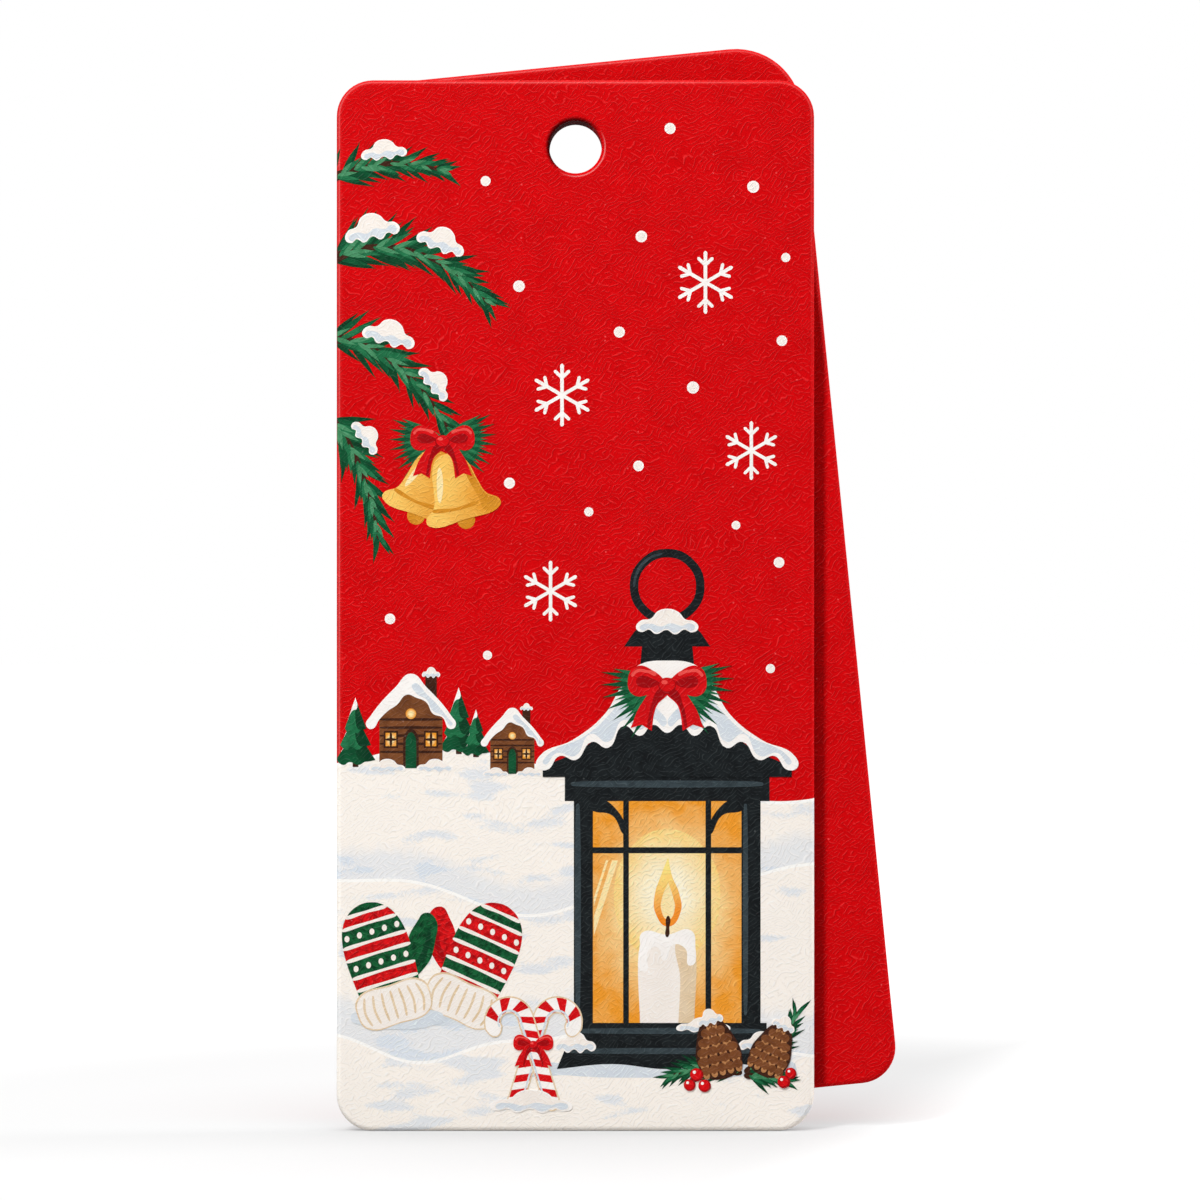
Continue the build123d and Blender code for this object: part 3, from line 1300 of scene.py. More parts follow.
@dataclass
class Village(Trim):
    """Two cottages and small firs on the far slope."""

    # Place across, and height.
    firs: tuple[Pair, ...] = ((-23.0, 7.2), (-12.2, 6.9), (-10.4, 4.9))
    fir_sunk: float = 0.8
    fir_half_width: float = 0.29
    fir_dip: float = 0.07
    fir_shade_side: float = 0.2
    fir_cap_lift: float = 0.1
    trunk_half_width: float = 0.3
    trunk_height: float = 1.0
    # Place across, depth in the snow, and size.
    cottages: tuple[tuple[float, float, float], ...] = ((-17.2, 0.6, 1.0), (-6.6, 0.5, 0.7))
    boards: int = 5
    first_board: float = 0.1
    board_pitch: float = 0.85
    board_reach: float = 3.2
    line_mm: float = 0.16
    gable_light_height: float = 4.1
    gable_light_width: float = 1.1
    window_middle: float = 2.1
    window_low: float = 1.25
    window_high: float = 1.55
    window_bar: float = 1.4

    # Ink, foot and top in shares of the fir's height, and share of its width.
    fir_tiers = ((GREEN, 0.1, 0.56, 1.0), (LEAF_GREEN, 0.32, 0.78, 0.78), (LEAF_GREEN, 0.56, 1.0, 0.54))
    # Across in half widths of the tier, and down in dips.
    fir_hem = ((1.0, 0.0, SHARP), (0.5, 0.3), (0.15, 1.0), (-0.3, 0.4), (-0.6, 1.0), (-1.0, 0.0, SHARP))
    # Across in half widths of the tier, and down in shares of its height.
    fir_cap = ((0.12, 0.34), (-0.3, 0.42), (-0.75, 0.76, SHARP))
    chimney = ((1.5, 4.0), (2.7, 4.0), (2.7, 8.2), (1.5, 8.2))
    chimney_snow = (2.1, 8.1, 1.9, 0.9)
    wall = ((-3.3, -1.6), (-3.3, 3.6), (0.0, 6.9), (3.3, 3.6), (3.3, -1.6))
    roof_snow = (
        (-4.7, 2.9), (-4.2, 3.9), (-1.6, 6.9), (0.0, 8.3), (1.6, 6.9), (4.2, 3.9),
        (4.7, 2.9), (4.1, 2.5), (3.3, 3.7), (2.3, 4.1), (1.6, 5.3), (0.5, 5.8),
        (-0.4, 6.1), (-1.5, 5.0), (-2.4, 4.4), (-3.3, 3.5), (-4.1, 2.5),
    )
    roof_shade = (
        (0.2, 7.2), (1.7, 6.1), (3.9, 3.6), (4.3, 2.9), (3.3, 3.9), (2.3, 4.4), (1.6, 5.6), (0.6, 6.2),
    )
    doorway = (
        (-0.8, -1.6, SHARP), (-0.8, 0.9), (-0.72, 1.8), (0.0, 2.5),
        (0.72, 1.8), (0.8, 0.9), (0.8, -1.6, SHARP),
    )
    door = (
        (-0.55, -1.6, SHARP), (-0.55, 0.9), (-0.48, 1.6), (0.0, 2.15),
        (0.48, 1.6), (0.55, 0.9), (0.55, -1.6, SHARP),
    )
    # Ink, and how far it reaches round the window's middle.
    window_layers = ((BROWN, 0.75), (GLOW, 0.55))
    foot_snow = ((-2.5, -1.7, 3.8, 1.1), (2.5, -1.7, 3.8, 1.1))

    def draw(self) -> None:
        """Draws the firs behind, then the cottages."""
        for x, height in self.firs:
            self.small_fir(x, FAR_SLOPE.crest(x) - self.fir_sunk, height)
        for x, sunk, size in self.cottages:
            self.cottage(x, FAR_SLOPE.crest(x) - sunk, size)

    def small_fir(self, x: float, y: float, height: float) -> None:
        """A fir of three tiers with snow on its left side.

        Args:
            x: Its foot's place across.
            y: Its foot's height.
            height: Its height.
        """
        dip = self.fir_dip * height
        self.block(BROWN, x - self.trunk_half_width, y, x + self.trunk_half_width, y + self.trunk_height)
        for ink, foot, top, share in self.fir_tiers:
            low = y + foot * height
            high = y + top * height
            side = share * self.fir_half_width * height
            rise = high - low
            tip = (x, high, SHARP)
            hem = [(x + right * side, low - down * dip, *corner) for right, down, *corner in self.fir_hem]
            cap = [(x + right * side, high - down * rise, *corner) for right, down, *corner in self.fir_cap]
            self.fill(ink, [tip, *hem])
            self.fill(DEEP_GREEN, [tip, *hem[:2], (x + self.fir_shade_side * side, low)])
            self.fill(WHITE, [(x, high + self.fir_cap_lift, SHARP), *cap])

    def cottage(self, x: float, y: float, size: float) -> None:
        """A timber cottage with a snowed roof and lit windows.

        Args:
            x: The middle of its foot.
            y: The height of its foot.
            size: 1 for a house about 9 mm wide.
        """
        def at(points: Sequence[tuple]) -> list[tuple]:
            """The points at the house's place and size."""
            return moved(points, x, y, size)

        def drift(right: float, up: float, width: float, height: float) -> None:
            """A cushion of snow at the house's place and size."""
            self.snow(x + right * size, y + up * size, width * size, height * size)

        line = self.line_mm * size
        self.polygon(BROWN, at(self.chimney))
        drift(*self.chimney_snow)
        self.polygon(WOOD, at(self.wall))
        for board in range(self.boards):
            height = self.first_board + self.board_pitch * board
            self.stroke(BROWN, at([(-self.board_reach, height), (self.board_reach, height)]), line)
        self.disc(GLOW, x, y + self.gable_light_height * size, self.gable_light_width * size)
        self.fill(BROWN, at(self.doorway))
        self.fill(GREEN, at(self.door))
        for middle in (-self.window_middle, self.window_middle):
            for ink, half in self.window_layers:
                left, right = middle - half, middle + half
                low, high = self.window_low - half, self.window_high + half
                self.polygon(ink, at([(left, low), (right, low), (right, high), (left, high)]))
            self.stroke(BROWN, at([(middle, low), (middle, high)]), line)
            self.stroke(BROWN, at([(left, self.window_bar), (right, self.window_bar)]), line)
        self.fill(WHITE, at(self.roof_snow))
        self.fill(SNOW_BLUE, at(self.roof_shade))
        for cushion in self.foot_snow:
            drift(*cushion)


@dataclass
class Lantern(Trim):
    """A black lantern with a lit candle behind its panes, snow on its roof and a bow at its top."""

    foot_reach: float = 11.0
    foot_low: float = 0.1
    foot_high: float = 2.5
    foot_taper: float = 1.0
    sill: float = 4.4
    pane_overlap: float = 0.5
    post_reach: float = 9.3
    post_width: float = 1.9
    bar_reach: float = 4.1
    bar_half_width: float = 0.28
    head: float = 27.4
    candle_half_width: float = 2.7
    candle_shade_foot: float = 1.1
    wick_mm: float = 0.34
    ring_width: float = 6.6
    ring_thickness: float = 0.85
    ring_height: float = 48.2
    ring_gleam_mm: tuple[float, ...] = (0.16, 0.34, 0.16)
    bow_height: float = 38.4
    dress_size: float = 1.35
    fan_lift: float = 0.2
    fan_start: float = 36.0

    halo = (0.0, 17.4, 10.6, 13.2)
    gleams = (
        ((-7.3, 13.4), (-4.9, 20.9), (-5.5, 20.9), (-7.3, 15.3)),
        ((-7.3, 16.4), (-5.86, 20.9), (-6.1, 20.9), (-7.3, 17.2)),
    )
    candle_side = ((-2.7, 12.6), (-2.2, 13.6), (0.0, 13.3), (2.2, 13.8), (2.7, 12.8))
    candle_shade = ((1.3, 9.0), (1.2, 13.4), (2.2, 13.7), (2.7, 12.7))
    candle_top = (
        (-2.7, 12.5), (-2.5, 13.7), (0.0, 13.5), (2.4, 13.9), (2.8, 12.5), (2.3, 10.4),
        (1.8, 12.1), (0.6, 12.5), (-0.3, 10.9), (-0.9, 12.2), (-1.8, 12.0), (-2.3, 9.8),
    )
    flame = (
        (0.1, 14.3), (1.35, 15.8), (1.2, 17.6), (0.5, 19.3), (0.1, 21.2, SHARP),
        (-0.7, 19.2), (-1.25, 17.4), (-1.15, 15.6),
    )
    flame_heart = ((0.1, 15.0), (0.75, 16.0), (0.6, 17.2), (0.1, 18.7, SHARP), (-0.5, 17.2), (-0.6, 16.0))
    wick = ((0.0, 13.4), (0.05, 14.2), (0.1, 15.2))
    shadow = (-0.6, 0.1, 27.0, 1.7)
    foot_hollow = ((-5.5, 0.6), (0.0, 0.1), (5.5, 0.7))
    sill_rail = (-9.9, 2.4, 9.9, 4.7)
    cross_rail = (-8.0, 21.6, 8.0, 22.2)
    head_rail = (-10.2, 26.8, 10.2, 29.4)
    bracket = ((7.4, 26.6), (5.2, 25.6), (4.2, 23.6))
    bracket_mm = (1.3, 0.7, 0.4)
    # Start, end and width.
    edge_lights = (
        ((-9.4, 28.5), (9.4, 28.5), 0.4),
        ((-8.9, 5.6), (-8.9, 26.4), 0.34),
        ((7.8, 5.6), (7.8, 26.4), 0.3),
        ((-9.2, 3.9), (9.2, 3.9), 0.34),
        ((-10.0, 1.9), (10.0, 1.9), 0.34),
    )
    ring_gleam = ((-0.17, 0.98), (-0.5, 0.87), (-0.77, 0.64), (-0.94, 0.34), (-1.0, 0.0))
    roof = (
        (0.0, 39.2, SHARP), (3.0, 39.2, SHARP), (4.6, 36.0), (7.6, 32.6),
        (12.4, 30.2, SHARP), (12.4, 29.2, SHARP), (0.0, 29.2, SHARP),
    )
    roof_snow = (
        (0.0, 40.8), (3.1, 40.2), (4.6, 38.2), (6.2, 35.5), (9.4, 32.9), (12.7, 31.3),
        (13.0, 30.2), (12.0, 29.9), (10.7, 31.3), (9.1, 30.9), (7.5, 32.7), (5.9, 32.1),
        (4.3, 34.3), (2.7, 33.3), (1.4, 34.4), (0.0, 33.6),
    )
    roof_snow_shade = (
        (3.2, 38.6), (4.9, 36.4), (8.0, 33.4), (12.0, 31.3), (12.3, 30.5), (11.0, 31.6),
        (9.2, 31.3), (7.6, 33.5), (5.9, 32.7), (4.3, 34.9), (2.7, 33.9), (1.4, 35.0),
        (0.2, 34.3), (1.0, 36.0), (2.2, 36.6),
    )
    vent = ((-2.8, 39.0), (2.8, 39.0), (2.5, 42.4), (-2.5, 42.4))
    hood = ((-4.3, 42.2, SHARP), (-2.7, 44.2), (0.0, 45.3), (2.7, 44.2), (4.3, 42.2, SHARP))
    hood_snow = (0.0, 44.0, 6.2, 2.0)
    foot_snow = ((-9.2, 2.2, 4.2, 1.7), (9.4, 2.3, 4.6, 1.6), (3.6, 4.1, 5.4, 1.2))

    def draw(self) -> None:
        """Draws the lantern from its glow to its ring."""
        self.glass()
        self.candle()
        self.ironwork()
        self.top()
        for drift in self.foot_snow:
            self.snow(*drift)

    def glass(self) -> None:
        """The glowing panes and the light that falls across them."""
        wide = self.post_reach - self.pane_overlap
        self.block(GLOW, -wide, self.sill, wide, self.head)
        self.disc(HALO, *self.halo)
        for gleam in self.gleams:
            self.polygon(PALE_GOLD, gleam)

    def candle(self) -> None:
        """The candle, its drips and its flame."""
        half = self.candle_half_width
        right_foot = (half, self.sill, SHARP)
        self.fill(CREAM, [(-half, self.sill, SHARP), *self.candle_side, right_foot])
        self.fill(TAN, [(self.candle_shade_foot, self.sill, SHARP), *self.candle_shade, right_foot])
        self.fill(WHITE, self.candle_top)
        self.fill(FLAME, self.flame)
        self.fill(PALE_GOLD, self.flame_heart)
        self.stroke(BROWN, self.wick, self.wick_mm)

    def ironwork(self) -> None:
        """The foot, the posts, the bars and the rails, and the light along them."""
        right_end = [
            (self.foot_reach, self.foot_low, SHARP),
            (self.foot_reach - self.foot_taper, self.foot_high, SHARP),
        ]
        self.disc(SNOW_BLUE, *self.shadow)
        self.fill(BLACK, [*right_end, *mirrored(right_end), *self.foot_hollow])
        self.block(BLACK, *self.sill_rail)
        for x in (-self.post_reach, self.post_reach - self.post_width):
            self.block(BLACK, x, self.sill, x + self.post_width, self.head)
        for x in (-self.bar_reach, self.bar_reach):
            self.block(BLACK, x - self.bar_half_width, self.sill, x + self.bar_half_width, self.head)
        self.block(BLACK, *self.cross_rail)
        for hand in (-1, 1):
            self.stroke(BLACK, [(hand * px, py) for px, py in self.bracket], *self.bracket_mm)
        self.block(BLACK, *self.head_rail)
        for start, end, width in self.edge_lights:
            self.stroke(SLATE, [start, end], width)

    def top(self) -> None:
        """The ring, the roof, its snow, the vent and the bow."""
        outer = self.ring_width + self.ring_thickness
        inner = self.ring_width - self.ring_thickness
        self.fill(BLACK, *(oval(0.0, self.ring_height, width, width) for width in (outer, inner)))
        gleam = moved(self.ring_gleam, 0.0, self.ring_height, self.ring_width / 2)
        self.stroke(SLATE, gleam, *self.ring_gleam_mm)
        self.fill(BLACK, both_sides(self.roof))
        self.polygon(BLACK, self.vent)
        self.fill(BLACK, self.hood)
        self.fill(WHITE, both_sides(self.roof_snow))
        for shade in (self.roof_snow_shade, mirrored(self.roof_snow_shade)):
            self.fill(SNOW_BLUE, shade)
        self.snow(*self.hood_snow)
        self.fir_fan(0.0, self.bow_height + self.fan_lift, self.dress_size, self.fan_start)
        self.bow(0.0, self.bow_height, self.dress_size)


@dataclass
class Mittens(Trim):
    """A pair of striped knitted mittens that lie in the snow."""

    palm_width: float = 7.8
    palm_height: float = 10.2
    palm_top: float = 0.985
    palm_foot: float = 0.88
    palm_flare: float = 0.24
    palm_bluntness: float = 3.4
    palm_steps: int = 10
    cuff_height: float = 3.4
    stripes: tuple[Range, ...] = ((0.1, 0.24), (0.44, 0.58), (0.78, 0.9))
    stripe_steps: int = 3
    border_mm: float = 0.3
    border_reach: float = 0.97
    border_bow: float = 0.05
    dot_rows: tuple[float, ...] = (0.34, 0.68)
    dot_columns: tuple[int, ...] = (-2, -1, 0, 1, 2)
    dot_pitch: float = 1.45
    dot_size: Pair = (0.55, 0.7)
    ribs: tuple[int, ...] = (-3, -2, -1, 0, 1, 2, 3)
    rib_mm: tuple[float, ...] = (0.16, 0.26, 0.16)

    # Place, turn, side of the thumb, and wools.
    pair = (
        (3.6, 0.4, -24.0, -1, (RED_WOOL, DEEP_RED, GREEN_WOOL)),
        (-2.6, 0.0, 17.0, 1, (GREEN_WOOL, DEEP_GREEN, RED_WOOL)),
    )
    shadow_off = (-0.2, 0.3)
    shadow_size = (10.4, 2.6)
    thumb = ((2.6, 4.4), (4.6, 4.9), (6.5, 7.4), (7.2, 9.6), (6.3, 10.6), (5.1, 9.9), (3.4, 8.0))
    thumb_shade = ((3.5, 5.2), (4.9, 6.4), (6.2, 8.6))
    thumb_shade_mm = (0.3, 0.6, 0.2)
    cuff = (
        (-3.5, 0.2), (-4.1, 1.7), (-3.6, 3.5), (0.0, 3.9),
        (3.6, 3.5), (4.1, 1.7), (3.5, 0.2), (0.0, -0.2),
    )
    cuff_rim = (1.04, 1.08)
    cuff_rim_drop = 0.12
    rib_line = ((1.0, 0.3), (1.12, 1.8), (1.0, 3.4))

    def draw(self) -> None:
        """Draws one mitten over the other."""
        for mitten in self.pair:
            self.mitten(*mitten)

    def edge(self, share: float) -> float:
        """Half the palm's width at a share of its height."""
        roundness = math.sqrt(max(1.0 - share**self.palm_bluntness, 0.0))
        return self.palm_width / 2 * roundness * (self.palm_foot + self.palm_flare * share)

    def palm(self, low: float, high: float, steps: int) -> list[tuple]:
        """Outline of the palm between two shares of its height, with sharp corners where it is cut off.

        Args:
            low: Where it starts.
            high: Where it ends.
            steps: Stretches along each side.

        Returns:
            The points.
        """
        shares = [low + (high - low) * i / steps for i in range(steps + 1)]
        right = [(self.edge(s), self.cuff_height + s * self.palm_height) for s in shares]
        ends = [(*right[0], SHARP), *right[1:-1], (*right[-1], high < self.palm_top)]
        return ends + mirrored(ends)

    def mitten(self, x: float, y: float, lean: float, hand: int, wools: tuple[Ink, Ink, Ink]) -> None:
        """One mitten.

        Args:
            x: The middle of its cuff's foot.
            y: The height of its cuff's foot.
            lean: Degrees that it is turned by.
            hand: 1 with its thumb on the right, -1 on the left.
            wools: Its main colour, that colour's shade, and the colour of its stripes.
        """
        def at(points: Sequence[tuple]) -> list[tuple]:
            """The points at the mitten's place and turn."""
            return moved([(p[0] * hand, *p[1:]) for p in points], x, y, lean=lean)

        wool, shade, band = wools
        self.disc(SNOW_BLUE, x + self.shadow_off[0], y + self.shadow_off[1], *self.shadow_size)
        self.fill(wool, at(self.thumb))
        self.stroke(shade, at(self.thumb_shade), *self.thumb_shade_mm)
        self.fill(wool, at(self.palm(0.0, self.palm_top, self.palm_steps)))
        for stripe in self.stripes:
            self.fill(band, at(self.palm(*stripe, self.stripe_steps)))
            for share in stripe:
                width = self.edge(share) * self.border_reach
                height = self.cuff_height + share * self.palm_height
                border = [(-width, height), (0.0, height + self.border_bow), (width, height)]
                self.stroke(CREAM, at(border), self.border_mm)
        for row in self.dot_rows:
            for column in self.dot_columns:
                spot = at([(column * self.dot_pitch, self.cuff_height + row * self.palm_height)])[0]
                self.disc(CREAM, *spot, *self.dot_size)
        wider, taller = self.cuff_rim
        self.fill(TAN, at([(px * wider, py * taller - self.cuff_rim_drop) for px, py in self.cuff]))
        self.fill(CREAM, at(self.cuff))
        for rib in self.ribs:
            self.stroke(TAN, at([(rib * px, py) for px, py in self.rib_line]), *self.rib_mm)


@dataclass
class Canes(Trim):
    """Two crossed sugar canes with red stripes."""

    thickness: float = 1.5
    rim_mm: float = 0.3
    shaft: float = 9.4
    hook_radius: float = 1.75
    hook_turn: float = 3.3
    steps: int = 24
    first_stripe: float = 0.35
    stripe_step: float = 1.6
    stripe_width: float = 0.8
    stripe_slant: float = 0.7
    shade_side: float = 0.8
    shade_mm: tuple[float, ...] = (0.16, 0.26, 0.16)
    foot_spread: float = 1.9
    lean: float = 17.0
    bow_height: float = 6.1
    bow_size: float = 0.72
    foot_snow = (-0.2, -0.5, 8.6, 1.9)

    def draw(self) -> None:
        """Draws one cane over the other, a bow where they cross and snow round their feet."""
        self.cane(1)
        self.cane(-1)
        self.bow(0.0, self.bow_height, self.bow_size)
        self.snow(*self.foot_snow)

    def cane(self, hand: int) -> None:
        """One cane.

        Args:
            hand: 1 with its hook to the right, -1 to the left.
        """
        whole = self.shaft + self.hook_radius * self.hook_turn
        lengths = [whole * i / self.steps for i in range(self.steps + 1)]
        half = self.thickness / 2
        middle = [self.at(hand, s, 0.0) for s in lengths]
        self.stroke(TAN, middle, self.thickness + self.rim_mm)
        self.stroke(WHITE, middle, self.thickness)
        for stripe in range(int((whole - self.stripe_slant) / self.stripe_step)):
            start = self.first_stripe + stripe * self.stripe_step
            across = [start, start + self.stripe_width / 2, start + self.stripe_width]
            left = [self.at(hand, s, -half) for s in across]
            right = [self.at(hand, s + self.stripe_slant, half) for s in reversed(across)]
            corners = (SHARP, False, SHARP)
            self.fill(RED, [(*p, corner) for p, corner in zip(left + right, corners * 2)])
        shade = [self.at(hand, s, half * self.shade_side) for s in lengths]
        self.stroke(SNOW_BLUE, shade, *self.shade_mm)

    def at(self, hand: int, length: float, off: float) -> Point:
        """A point of a cane.

        Args:
            hand: 1 for the cane with its hook to the right, -1 to the left.
            length: How far along the cane's middle line.
            off: How far to the hook's side of that line.

        Returns:
            The point.
        """
        x, y = off, length
        if length > self.shaft:
            angle = (length - self.shaft) / self.hook_radius
            reach = self.hook_radius - off
            x = self.hook_radius - reach * math.cos(angle)
            y = self.shaft + reach * math.sin(angle)
        right, up = turned(x, y, -self.lean)
        return hand * (right - self.foot_spread), up


@dataclass
class Cones(Trim):
    """Two fir cones on a sprig with berries, at the lantern's foot."""

    rows: int = 6
    first_row: float = 7.0
    row_pitch: float = 1.18
    tip_half: float = 0.75
    swell: float = 2.0
    swell_turn: float = 1.9
    scale_overlap: float = 1.06
    snow_height: float = 7.3
    snow_size: Pair = (3.4, 1.7)
    # Place, turn and size.
    pair = ((3.9, 0.6, -24.0, 0.9), (-0.9, 0.2, 14.0, 1.0))
    # Start, two handles and end of the stem, needles, their length, and the seed.
    sprigs = (
        (((2.0, 1.0), (4.5, 2.0), (7.0, 4.5), (8.4, 8.4)), 8, 3.8, 21),
        (((1.0, 0.8), (-2.0, 1.6), (-4.6, 1.8), (-8.0, 0.2)), 9, 3.8, 22),
        (((2.0, 0.4), (3.6, 0.3), (5.4, 0.4), (7.2, -0.4)), 8, 3.2, 23),
    )
    outline = (
        (0.0, -0.2), (2.0, 0.4), (2.9, 2.4), (2.4, 5.0), (1.2, 7.4),
        (0.0, 8.4), (-1.2, 7.4), (-2.4, 5.0), (-2.9, 2.4), (-2.0, 0.4),
    )
    scale = ((-1.0, 0.35), (0.0, 0.75), (1.0, 0.35), (0.6, -0.5), (0.0, -0.85), (-0.6, -0.5))
    scale_tip = ((-0.62, -0.25), (0.0, -0.42), (0.62, -0.25), (0.0, -0.85))
    # Place and width.
    berries = ((-4.4, 0.5, 1.7), (-3.4, -0.9, 1.6), (-5.3, -0.8, 1.5), (6.7, -0.4, 1.6), (7.6, 0.7, 1.4))

    def draw(self) -> None:
        """Draws the sprigs, then the cones and berries."""
        for sprig in self.sprigs:
            self.twig(*sprig)
        for cone in self.pair:
            self.cone(*cone)
        for berry in self.berries:
            self.berry(*berry)

    def cone(self, x: float, y: float, lean: float, size: float) -> None:
        """One cone that stands on its broad end.

        Args:
            x: Its foot's place across.
            y: Its foot's height.
            lean: Degrees that it is turned by.
            size: 1 for a cone about 8 mm tall.
        """
        self.fill(BROWN, moved(self.outline, x, y, size, lean))
        for row in range(self.rows):
            height = self.first_row - row * self.row_pitch
            half = self.tip_half + self.swell * math.sin(row / (self.rows - 1) * self.swell_turn)
            scales = 2 + (row + 1) // 2
            wide = half / scales * self.scale_overlap
            for i in range(scales):
                middle = half * ((i + 0.5) / scales * 2 - 1)
                for ink, shape in ((WOOD, self.scale), (PALE_WOOD, self.scale_tip)):
                    points = [(middle + px * wide, height + py) for px, py in shape]
                    self.fill(ink, moved(points, x, y, size, lean))
        tip = moved([(0.0, self.snow_height)], x, y, size, lean)[0]
        width, height = self.snow_size
        self.snow(*tip, width * size, height * size, lean)


def grey(level: float) -> tuple[float, float, float, float]:
    """An even grey that covers fully, as a shader's colour."""
    return level, level, level, 1.0


@dataclass
class Studio:
    """The white sweep, the lamps and the camera."""

    view_distance: float = 420 * MM
    frame_pixels: float = 1200.0
    pixels_per_mm: float = 9.56
    hole_pixel: Point = (575.4, 146.6)
    sensor_mm: float = 36.0
    fill_strength: float = 0.12
    floor_width: float = 6.0
    floor_cells: int = 8
    floor_bounce: float = 0.5
    floor_seen: float = 0.22
    floor_lift: float = 0.7
    shadow_reach_mm: Range = (70.0, 150.0)
    shadow_side_mm: Range = (23.0, 45.0)
    shadow_slant: float = 0.3
    # Painted contact shadow in the floor's glow, and painted red bounce light from the leaves behind them.
    contact_mm: float = 45.0
    contact_depth: float = 0.55
    contact_rays: int = 16
    leaf_light: Colour = (1.0, 0.7, 0.68)
    leaf_light_mm: Range = (2.0, 12.0)

    def build(self) -> None:
        """Makes the floor, the world, the lamps and the camera."""
        self.floor()
        self.world()
        middle = Vector((0.0, 0.0, -50 * MM))
        self.lamp("key", middle, turn=-33.0, rise=46.0, distance=0.75, sides=(0.1, 0.4), power=5.75)
        self.lamp("side", middle, turn=99.0, rise=18.0, distance=0.75, sides=(0.16, 0.5), power=5.0)
        self.lamp("overhead", middle, turn=-20.0, rise=82.0, distance=0.8, sides=(0.6, 0.6), power=2.2)
        self.camera()

    def floor(self) -> None:
        """A pale floor that goes to white away from the tag and keeps its shadow."""
        bpy.ops.object.select_all(action="DESELECT")
        bpy.ops.mesh.primitive_grid_add(
            x_subdivisions=self.floor_cells,
            y_subdivisions=self.floor_cells,
            size=self.floor_width,
            location=(0.0, 0.0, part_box("front_core_board")[0].z),
        )
        floor = bpy.context.object
        floor.name = "floor"
        bpy.ops.object.transform_apply(location=True, rotation=True, scale=True)
        floor.data.materials.append(self.floor_material())

    def floor_material(self) -> Material:
        """White card that the lamps light, and that looks white except where the tag shades it.

        Returns:
            The finished material.
        """
        shader = Shader(bpy.data.materials.new("white_sweep"))
        across, back, _ = shader.split(shader.millimetres())
        beside = shader.fade(across - back * self.shadow_slant, *self.shadow_side_mm)
        far = shader.fade(shader.length(across, back), *self.shadow_reach_mm)
        away = shader.math("MAXIMUM", beside, far)
        settings = {"samples": self.contact_rays}
        near = shader.node("ShaderNodeAmbientOcclusion", settings, {"Distance": self.contact_mm * MM})
        shut = 1.0 - Value(shader, near.outputs["AO"])
        # Painted red bounce light: the glow is tinted red just behind the tag, where the leaves close off the
        # floor.
        red_bounce_share = shut * shader.fade(back, *self.leaf_light_mm)
        tint = shader.blend(red_bounce_share, (1.0, 1.0, 1.0), self.leaf_light)
        # Painted contact shadow: the glow is dimmed where the tag closes off the floor.
        strength = (self.floor_lift + away * (1.0 - self.floor_lift)) * (1.0 - shut * self.contact_depth)
        glow = shader.node("ShaderNodeEmission", sockets={"Color": tint, "Strength": strength})
        matt = shader.node("ShaderNodeBsdfDiffuse", sockets={"Color": grey(self.floor_seen)})
        lifted = shader.node("ShaderNodeAddShader", sockets={0: matt.outputs[0], 1: glow.outputs[0]})
        plain = shader.node("ShaderNodeBsdfDiffuse", sockets={"Color": grey(self.floor_bounce)})
        sockets = {0: self.looked_at(shader), 1: plain.outputs[0], 2: lifted.outputs[0]}
        surface = shader.node("ShaderNodeMixShader", sockets=sockets)
        shader.node("ShaderNodeOutputMaterial", sockets={"Surface": surface.outputs[0]})
        return shader.owner

    def looked_at(self, shader: Shader) -> Value:
        """Tells what the camera sees, also in a gloss or through glass, from what only gives light.

        Args:
            shader: The tree that gets the nodes.

        Returns:
            1 for what is seen, 0 for what isn't.
        """
        seen = shader.node("ShaderNodeLightPath").outputs
        rays = [Value(shader, seen[f"Is {kind} Ray"]) for kind in ("Camera", "Glossy", "Transmission")]
        return shader.math("MINIMUM", rays[0] + rays[1] + rays[2], 1.0)

    def world(self) -> None:
        """Even fill light, seen as white by the camera."""
        world = bpy.data.worlds.new("studio_white")
        bpy.context.scene.world = world
        shader = Shader(world)
        strength = self.fill_strength + self.looked_at(shader) * (1.0 - self.fill_strength)
        light = shader.node("ShaderNodeBackground", sockets={"Color": grey(1.0), "Strength": strength})
        shader.node("ShaderNodeOutputWorld", sockets={"Surface": light.outputs[0]})

    def lamp(
        self,
        name: str,
        aim: Vector,
        turn: float,
        rise: float,
        distance: float,
        sides: Pair,
        power: float,
    ) -> None:
        """Adds a soft rectangular light.

        Args:
            name: The lamp's name.
            aim: The point that it faces.
            turn: Degrees to the right of the tag's front.
            rise: Degrees above the horizon.
            distance: Metres from the aim.
            sides: Width and height of the light in metres.
            power: Watts.
        """
        flat = math.cos(math.radians(rise))
        side = math.radians(turn)
        to_lamp = Vector((flat * math.sin(side), -flat * math.cos(side), math.sin(math.radians(rise))))
        light = bpy.data.lights.new(name, "AREA")
        light.shape = "RECTANGLE"
        light.size, light.size_y = sides
        light.energy = power
        lamp = bpy.data.objects.new(name, light)
        bpy.context.scene.collection.objects.link(lamp)
        lamp.location = aim + to_lamp * distance
        lamp.rotation_euler = to_lamp.to_track_quat("Z", "Y").to_euler()

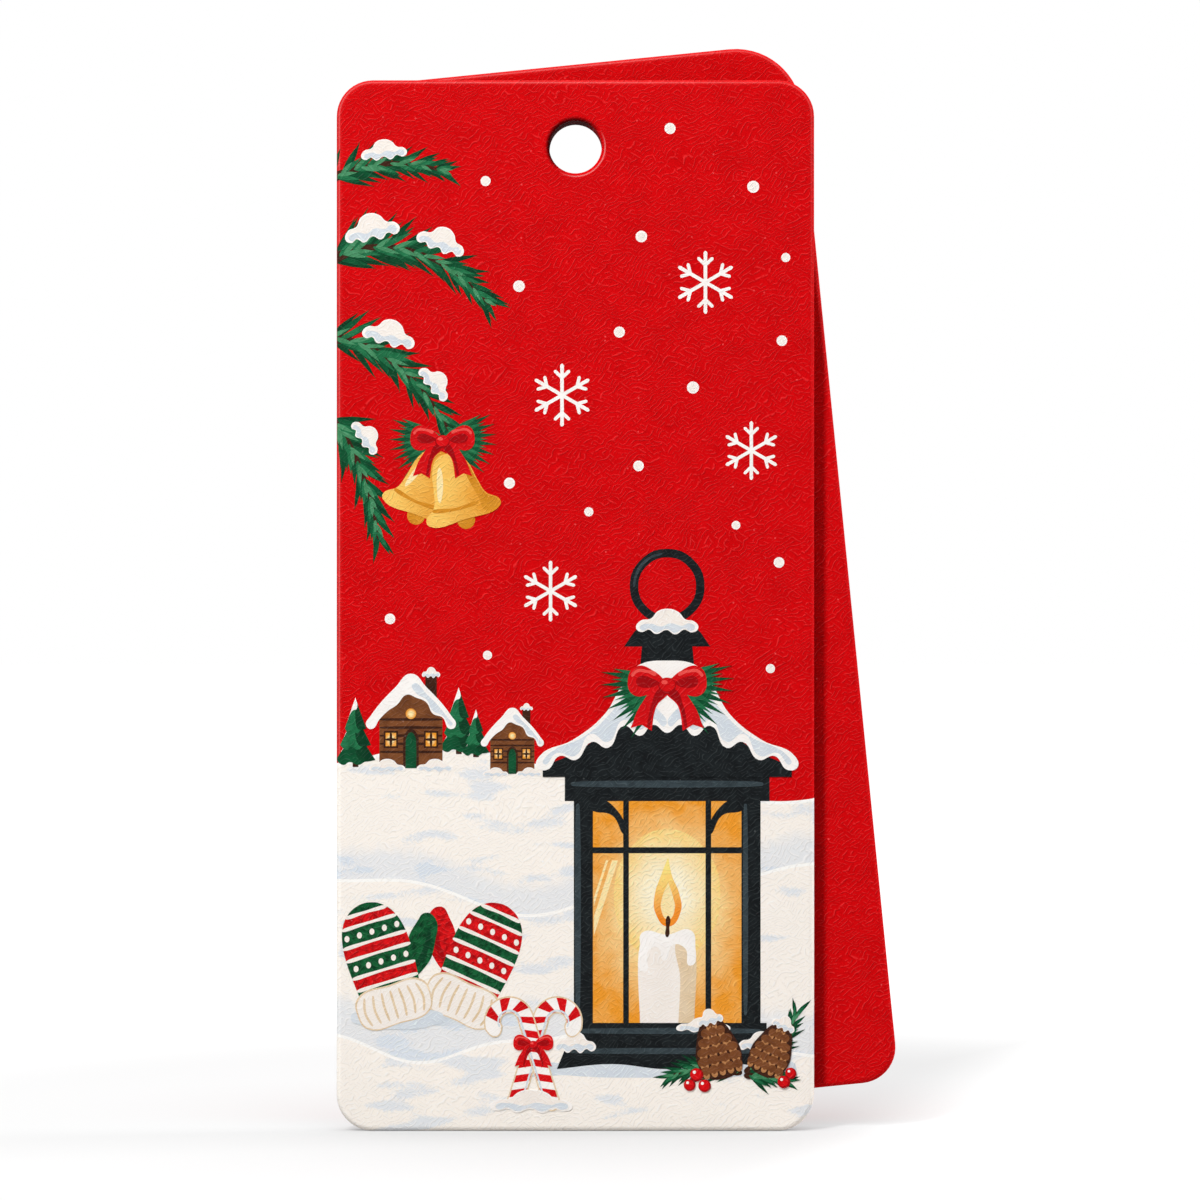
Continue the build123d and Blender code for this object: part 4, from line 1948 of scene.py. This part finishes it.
    def camera(self) -> None:
        """Looks straight at the front leaf, with the hole at its place in the frame."""
        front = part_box("front_face_sheet")[0].y
        right = (self.frame_pixels / 2 - self.hole_pixel[0]) / self.pixels_per_mm * MM
        down = (self.frame_pixels / 2 - self.hole_pixel[1]) / self.pixels_per_mm * MM
        frame_width = self.frame_pixels / self.pixels_per_mm * MM
        lens = bpy.data.cameras.new("camera")
        lens.sensor_width = self.sensor_mm
        lens.lens = self.sensor_mm * self.view_distance / frame_width
        camera = bpy.data.objects.new("camera", lens)
        bpy.context.scene.collection.objects.link(camera)
        camera.location = (right, front - self.view_distance, -down)
        camera.rotation_euler = (math.pi / 2, 0.0, 0.0)
        bpy.context.scene.camera = camera


@dataclass
class Leaf:
    """One leaf of the tag: a face sheet and a back sheet on a dyed board."""

    name: str
    face: Finish
    back: Ink
    board: Ink

    def dress(self) -> None:
        """Gives each ply its finish."""
        for ply, finish in (("face_sheet", self.face), ("back_sheet", self.back), ("core_board", self.board)):
            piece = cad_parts[f"{self.name}_{ply}"]
            if not piece.data.materials:
                piece.data.materials.append(finish.material())
            for slot in piece.material_slots:
                slot.material = finish.material()
            log.info("dressed %s in %s", piece.name, finish.name)


def red_paper(name: str, cut: DieCut) -> Ink:
    """Red paper dyed through, with wear and painted highlights along the edges of one leaf, and painted shade
    and a highlight in its bore.
    """
    return Ink(name, "D3050B", "BF0307", mottle_per_mm=0.4, show=0.85, cut=cut)


def red_board(name: str, cut: DieCut) -> Ink:
    """Board dyed a deeper red than the paper on it, partly as painted shade so that the bore's wall reads
    dark.
    """
    return Ink(name, "8E0A0E", "7A080B", mottle=0.7, mottle_per_mm=1.5, show=0.7, roughness=0.85, cut=cut)


FRONT_RED = red_paper("front_red_paper", FRONT_CUT)
BACK_RED = red_paper("back_red_paper", BACK_CUT)
FRONT_BOARD = red_board("front_red_board", FRONT_CUT)
BACK_BOARD = red_board("back_red_board", BACK_CUT)


def main() -> None:
    """Builds the studio, dresses the leaves and prints the picture."""
    logging.basicConfig(level=logging.INFO, format="%(name)s: %(message)s")
    bpy.context.scene.view_settings.view_transform = "Standard"
    Studio().build()
    Leaf("front", GROUND, FRONT_RED, FRONT_BOARD).dress()
    Leaf("back", BACK_RED, BACK_RED, BACK_BOARD).dress()
    order = PrintOrder()
    for motif in (
        Snowfall("print_snowfall", 0.0, 0.0),
        Village("print_village", 0.0, 0.0),
        FirBough("print_fir_bough", 0.0, 0.0),
        Bells("print_bells", -13.9, -31.0, size=1.1),
        Lantern("print_lantern", 9.6, -96.6, size=1.05),
        Mittens("print_mittens", -16.0, -91.4, size=0.94),
        Canes("print_canes", -4.4, -100.0),
        Cones("print_cones", 16.3, -97.5, size=0.82),
    ):
        motif.build(order)


if __name__ == "__main__":
    main()
